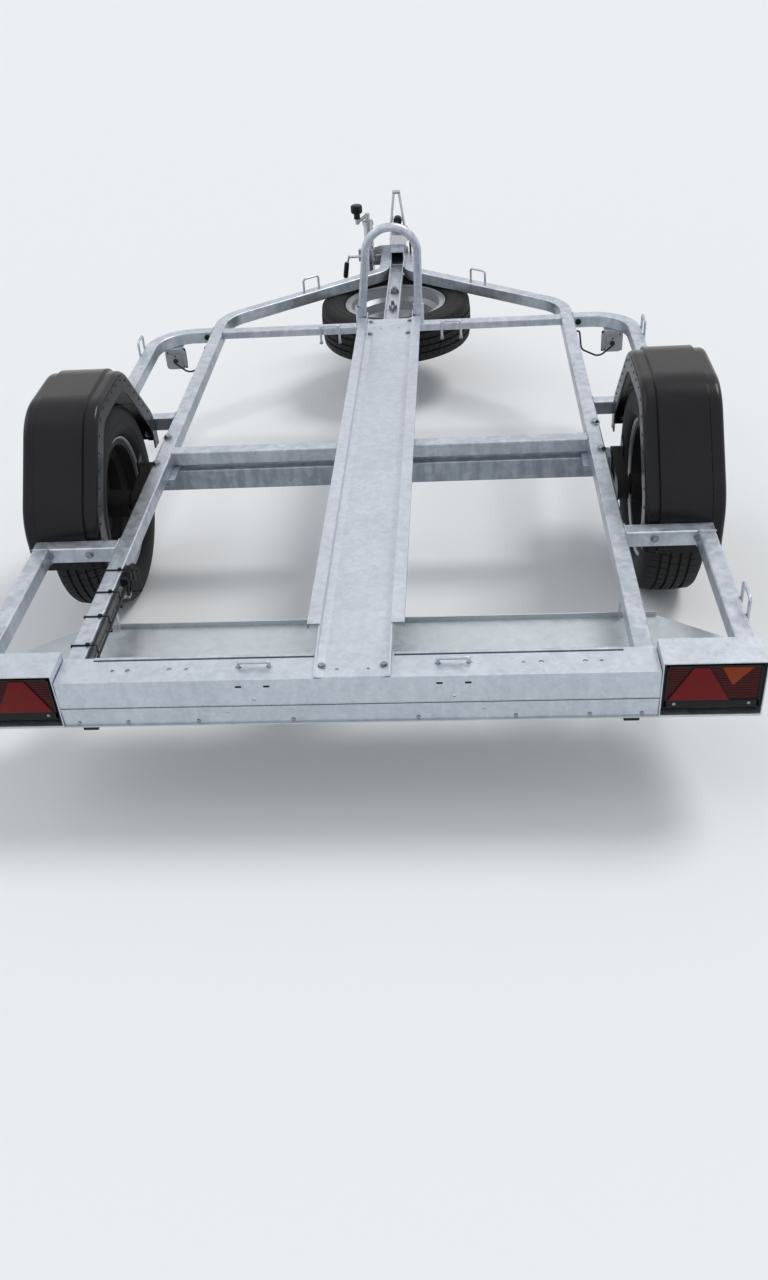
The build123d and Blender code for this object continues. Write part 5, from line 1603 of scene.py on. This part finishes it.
@dataclass
class Jockey:
    """Small wheel, nuts, tube cap and lever grip of the jockey wheel."""

    wheel: Point = (-0.110, 2.654, 0.080)
    half: float = 0.020
    rubber: tuple[Pair, ...] = (
        (0.72, 0.0540), (0.92, 0.0560), (0.98, 0.0640), (0.90, 0.0730), (0.62, 0.0785), (0.30, 0.0800),
        (0.22, 0.0778))
    groove: float = 0.0778
    disc: tuple[Pair, ...] = ((1.0, 0.0063), (1.0, 0.0170), (0.45, 0.0200), (0.30, 0.0480), (0.74, 0.0545))
    spokes: int = 6
    spoke_phase: float = 0.2
    spoke: Point = (0.030, 0.0035, 0.0300)
    spoke_circle: float = 0.0335
    axle_half: float = 0.0300
    axle_nut: Point = (0.0098, 0.0052, 0.0125)
    cap: tuple[Pair, ...] = ((0.0, 0.0), (0.0, 0.0205), (0.0016, 0.0200), (0.0022, 0.0110), (0.0022, 0.0))
    cap_place: Point = (-0.110, 2.684, 0.494)
    clamp_nut: Point = (0.0090, 0.0075, 0.0115)
    clamp_nut_place: Point = (-0.1435, 2.696, 0.366)
    grip: tuple[Pair, ...] = (
        (0.0, 0.0), (0.0, 0.0075), (0.006, 0.0096), (0.052, 0.0099), (0.058, 0.0092), (0.061, 0.0070), (0.061, 0.0))
    grip_ends: tuple[Point, Point] = ((-0.2005, 2.664, 0.346), (-0.2105, 2.664, 0.286))

    def wheel_pieces(self) -> list[tuple[Mesh, Finish]]:
        """Makes the wheel.

        Returns:
            Its rubber, its disc and the disc's ribs, with their finishes.
        """
        rubber, disc = ([(self.half * share, radius) for share, radius in rows] for rows in (self.rubber, self.disc))
        ring = [*rubber, (0.0, self.groove), *mirrored(rubber)]
        rib = block(self.spoke, bevel=0.0006)
        rib.transform(Matrix.Translation((0.0, 0.0, self.spoke_circle)))
        return [(lathe(ring, segments=64, closed=True), Finish.RUBBER),
                (lathe([*disc, *mirrored(disc)], segments=48, closed=True), Finish.GREY),
                (ring_of(rib, Finish.GREY, self.spokes, self.spoke_phase), Finish.GREY)]

    def build(self) -> None:
        """Builds every detail on the body that it moves with."""
        wheel = Gather("jockey_wheel_rubber", "jockey_roller")
        for mesh, finish in self.wheel_pieces():
            wheel.put(mesh, finish, Matrix.Translation(spot(*self.wheel)))
        wheel.done("jockey_wheel")
        fork = Gather("jockey_axle_nuts", "jockey_swivel")
        x, y, z = self.wheel
        for sign, turn in ((1, OUTWARDS), (-1, INWARDS)):
            fork.put(hex_head(*self.axle_nut), Finish.BOLT, at(spot(x + sign * self.axle_half, y, z), turn))
        fork.done()
        cap = Gather("jockey_tube_trim", "jockey_body")
        cap.put(lathe(self.cap, segments=32), Finish.BOLT, at(spot(*self.cap_place), UP))
        cap.done()
        clamp = Gather("jockey_clamp_trim")
        clamp.put(hex_head(*self.clamp_nut), Finish.BOLT, at(spot(*self.clamp_nut_place), AHEAD))
        high, low = (spot(*end) for end in self.grip_ends)
        clamp.put(lathe(self.grip, segments=20), Finish.PLASTIC, at(high, facing(low - high)))
        clamp.done()


@dataclass
class SpareHolder:
    """Thread and washers of the spare wheel's holder."""

    middle: Pair = (0.0, 2.309)
    thread: tuple[Pair, ...] = ((-0.0008, 0.008), (0.0, 0.0085), (0.0008, 0.008))
    pitch: float = 0.0020
    threads: tuple[Pair, ...] = ((0.1890, 0.1968), (0.2170, 0.3370), (0.3548, 0.3622))
    washer: tuple[Pair, ...] = ((0.0, 0.009), (0.0, 0.0185), (0.0012, 0.0185), (0.0016, 0.0178), (0.0016, 0.009))
    washers: Pair = (0.3395, 0.2094)

    def build(self) -> None:
        """Builds the holder's details."""
        gather = Gather("spare_holder_details")
        for low, high in self.threads:
            line = line_mesh([spot(*self.middle, low), spot(*self.middle, high)])
            ring = lathe(self.thread, segments=16)
            gather.put(PATH.grow(line, ring, Finish.BOLT, {"Spacing": self.pitch, "Seed": 1}), Finish.BOLT)
        for height in self.washers:
            ring = lathe(self.washer, segments=32, closed=True)
            gather.put(ring, Finish.BOLT, at(spot(*self.middle, height), UP))
        gather.done()


@dataclass(frozen=True)
class Sun:
    """A broad, far lamp: where it shines from, its strength, its apparent width in degrees and its colour."""

    name: str
    place: Point
    strength: float
    softness: float
    tint: Colour

    def build(self) -> None:
        """Adds the lamp."""
        data = bpy.data.lights.new(self.name, "SUN")
        data.energy = self.strength
        data.angle = math.radians(self.softness)
        data.color = self.tint
        lamp = bpy.data.objects.new(self.name, data)
        lamp.rotation_euler = (-Vector(self.place)).to_track_quat("-Z", "Y").to_euler()
        link(lamp)


@dataclass
class Studio:
    """Camera, lamps, world and floor."""

    camera_place: Point = (0.2325, -1.8065 - TAIL, 1.777)
    yaw: float = math.radians(-5.11)
    pitch: float = math.radians(36.03)
    roll: float = math.radians(-4.32)
    focal: float = 1143.5
    image_height: float = 1280.0
    film: float = 36.0
    floor_size: float = 80.0
    floor_shade: Colour = (0.84, 0.84, 0.84)
    sky_shade: Colour = (0.90, 0.95, 1.0)
    sky_strength: float = 0.62
    suns: tuple[Sun, ...] = (
        Sun("key", (0.7, 0.5, 1.3), 1.25, 22.0, (1.0, 0.985, 0.96)),
        Sun("fill", (-0.9, 0.1, 1.0), 0.45, 40.0, (0.94, 0.97, 1.0)))

    def camera(self) -> None:
        """Places the camera where the photograph was taken."""
        data = bpy.data.cameras.new("camera")
        data.sensor_fit = "VERTICAL"
        data.sensor_height = self.film
        data.lens = self.focal * self.film / self.image_height
        data.clip_end = 100.0
        camera = bpy.data.objects.new("camera", data)
        ahead = Vector((math.sin(self.yaw) * math.cos(self.pitch), math.cos(self.yaw) * math.cos(self.pitch),
                        -math.sin(self.pitch)))
        right = Vector((math.cos(self.yaw), -math.sin(self.yaw), 0.0))
        up = right.cross(ahead)
        right_rolled = math.cos(self.roll) * right + math.sin(self.roll) * up
        up_rolled = -math.sin(self.roll) * right + math.cos(self.roll) * up
        turn = Matrix((right_rolled, up_rolled, -ahead)).transposed()
        camera.matrix_world = Matrix.Translation(self.camera_place) @ turn.to_4x4()
        link(camera)
        bpy.context.scene.camera = camera

    def world(self) -> None:
        """Sets an even grey sky, white where the camera or a gloss sees it."""
        world = bpy.data.worlds.new("sky")
        bpy.context.scene.world = world
        world.use_nodes = True
        world.node_tree.nodes.clear()
        make = Nodes(world.node_tree)
        rays = make.add("ShaderNodeLightPath").outputs
        clear = make.sum("MAXIMUM", rays["Is Camera Ray"], rays["Is Transmission Ray"])
        seen = make.sum("MAXIMUM", clear, rays["Is Glossy Ray"])
        sky = make.add("ShaderNodeBackground", {"Color": (*self.sky_shade, 1.0), "Strength": self.sky_strength})
        white = make.add("ShaderNodeBackground", {"Color": (1.0, 1.0, 1.0, 1.0), "Strength": 1.0})
        mixed = make.add("ShaderNodeMixShader", {0: seen, 1: sky.outputs[0], 2: white.outputs[0]})
        make.add("ShaderNodeOutputWorld", {"Surface": mixed.outputs[0]})

    def floor(self) -> None:
        """Lays the plain pale floor."""
        half = self.floor_size / 2
        mesh = bpy.data.meshes.new("floor")
        mesh.from_pydata([(-half, -half, 0.0), (half, -half, 0.0), (half, half, 0.0), (-half, half, 0.0)], [],
                         [(0, 1, 2, 3)])
        mesh.materials.append(Surface("floor").close(
            {"Base Color": (*self.floor_shade, 1.0), "Roughness": 0.9, "Specular IOR Level": 0.1}))
        floor = bpy.data.objects.new("floor", mesh)
        link(floor)

    def build(self) -> None:
        """Builds the whole studio."""
        self.camera()
        self.world()
        self.floor()
        for sun in self.suns:
            sun.build()
        bpy.context.scene.view_settings.view_transform = "Standard"
        log.info("built the studio")


@dataclass
class WheelInside:
    """Painted shade on the inner side of a road wheel's rim."""

    # Beyond this radius the flange keeps its silver paint, without painted shade
    clean_radius: float = 0.174
    # Faces nearer to the middle of the trailer than this are behind the disc
    disc: float = 0.036
    facing_in: float = -0.3
    facing_out: float = 0.6
    towards_hub: float = 0.1

    def dress(self, node: str) -> None:
        """Paints shade on the hidden faces of a rim by giving them their own near-black finish.

        Args:
            node: The rim's node.
        """
        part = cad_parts[node]
        part.data.materials.append(FINISHES.get(Finish.WHEEL_INSIDE_SHADE))
        centre = Extent.of(node).centre
        outward = math.copysign(1.0, centre.x)
        for face in part.data.polygons:
            away = part.matrix_world @ face.center - centre
            radius = math.hypot(away.y, away.z)
            side = face.normal.x * outward
            inward = face.normal.y * away.y + face.normal.z * away.z < self.towards_hub * radius
            behind = away.x * outward < self.disc or side < self.facing_in
            # These faces get the painted shade
            if radius < self.clean_radius and inward and behind and side < self.facing_out:
                face.material_index = 1


@dataclass
class FrameFinishes:
    """Which solids carry which finish."""

    groups: tuple[tuple[Finish, tuple[str, ...]], ...] = (
        (Finish.TUBE, ("front_crossmember", "mid_crossmember", "outriggers", "side_bars_rear", "hoop", "hoop_sleeves",
                       "lashing_loops", "marker_tabs", "nose_box", *both_sides("side_rail", "side_bar_front"))),
        (Finish.SHEET, ("wheel_channel", "rear_beam", "lamp_boxes", "drawbar_beam")),
        (Finish.SHELF, ("rear_shelf", "shelf_straps")),
        (Finish.AXLE, ("axle_beam", "axle_pads")),
        (Finish.BRIGHT, ("coupling_head", "coupling_handle", "jockey_clamp", "jockey_clamp_lever", "jockey_tube",
                         "jockey_crank", "jockey_leg", "jockey_fork")),
        (Finish.BOLT, ("spare_holder", "beam_clip")),
        (Finish.RIM, ("spare_rim", *both_sides("rim"))),
        (Finish.GUARD, tuple(both_sides("mudguard"))),
        (Finish.ARM, tuple(both_sides("swing_arm", "hub"))),
        (Finish.RUBBER, ("spare_tyre", "jockey_wheel", "rubber_feet", *both_sides("tyre"))),
        (Finish.PLASTIC, ("jockey_knob", "tail_lamp_bodies", "parked_plug", "junction", "cable_ties")),
        (Finish.SHEATH, ("plug_cable", "marker_cables")),
        (Finish.CONDUIT, ("rail_wiring",)),
        (Finish.GREY, ("marker_lamps",)),
        (Finish.RED, ("tail_lamp_lenses",)),
    )

    def build(self) -> None:
        """Gives every carried-over solid its finish."""
        for finish, names in self.groups:
            FINISHES.dress(names, finish)
        # Painted shade on the hidden inner faces of both road rims
        for rim in both_sides("rim"):
            WheelInside().dress(rim)


def main() -> None:
    """Builds the studio and the trailer's looks in order."""
    logging.basicConfig(level=logging.INFO, format="%(name)s: %(message)s")
    Studio().build()
    FrameFinishes().build()
    RoadTyre().build_all()
    for assembly in (MudguardTrim(), FrameHardware(), Hoop(), LashingLoops(), WeldSeams(), TailLamp(), MarkerLamp(),
                     Wiring(), Coupling(), Jockey(), SpareHolder()):
        assembly.build()


if __name__ == "__main__":
    main()
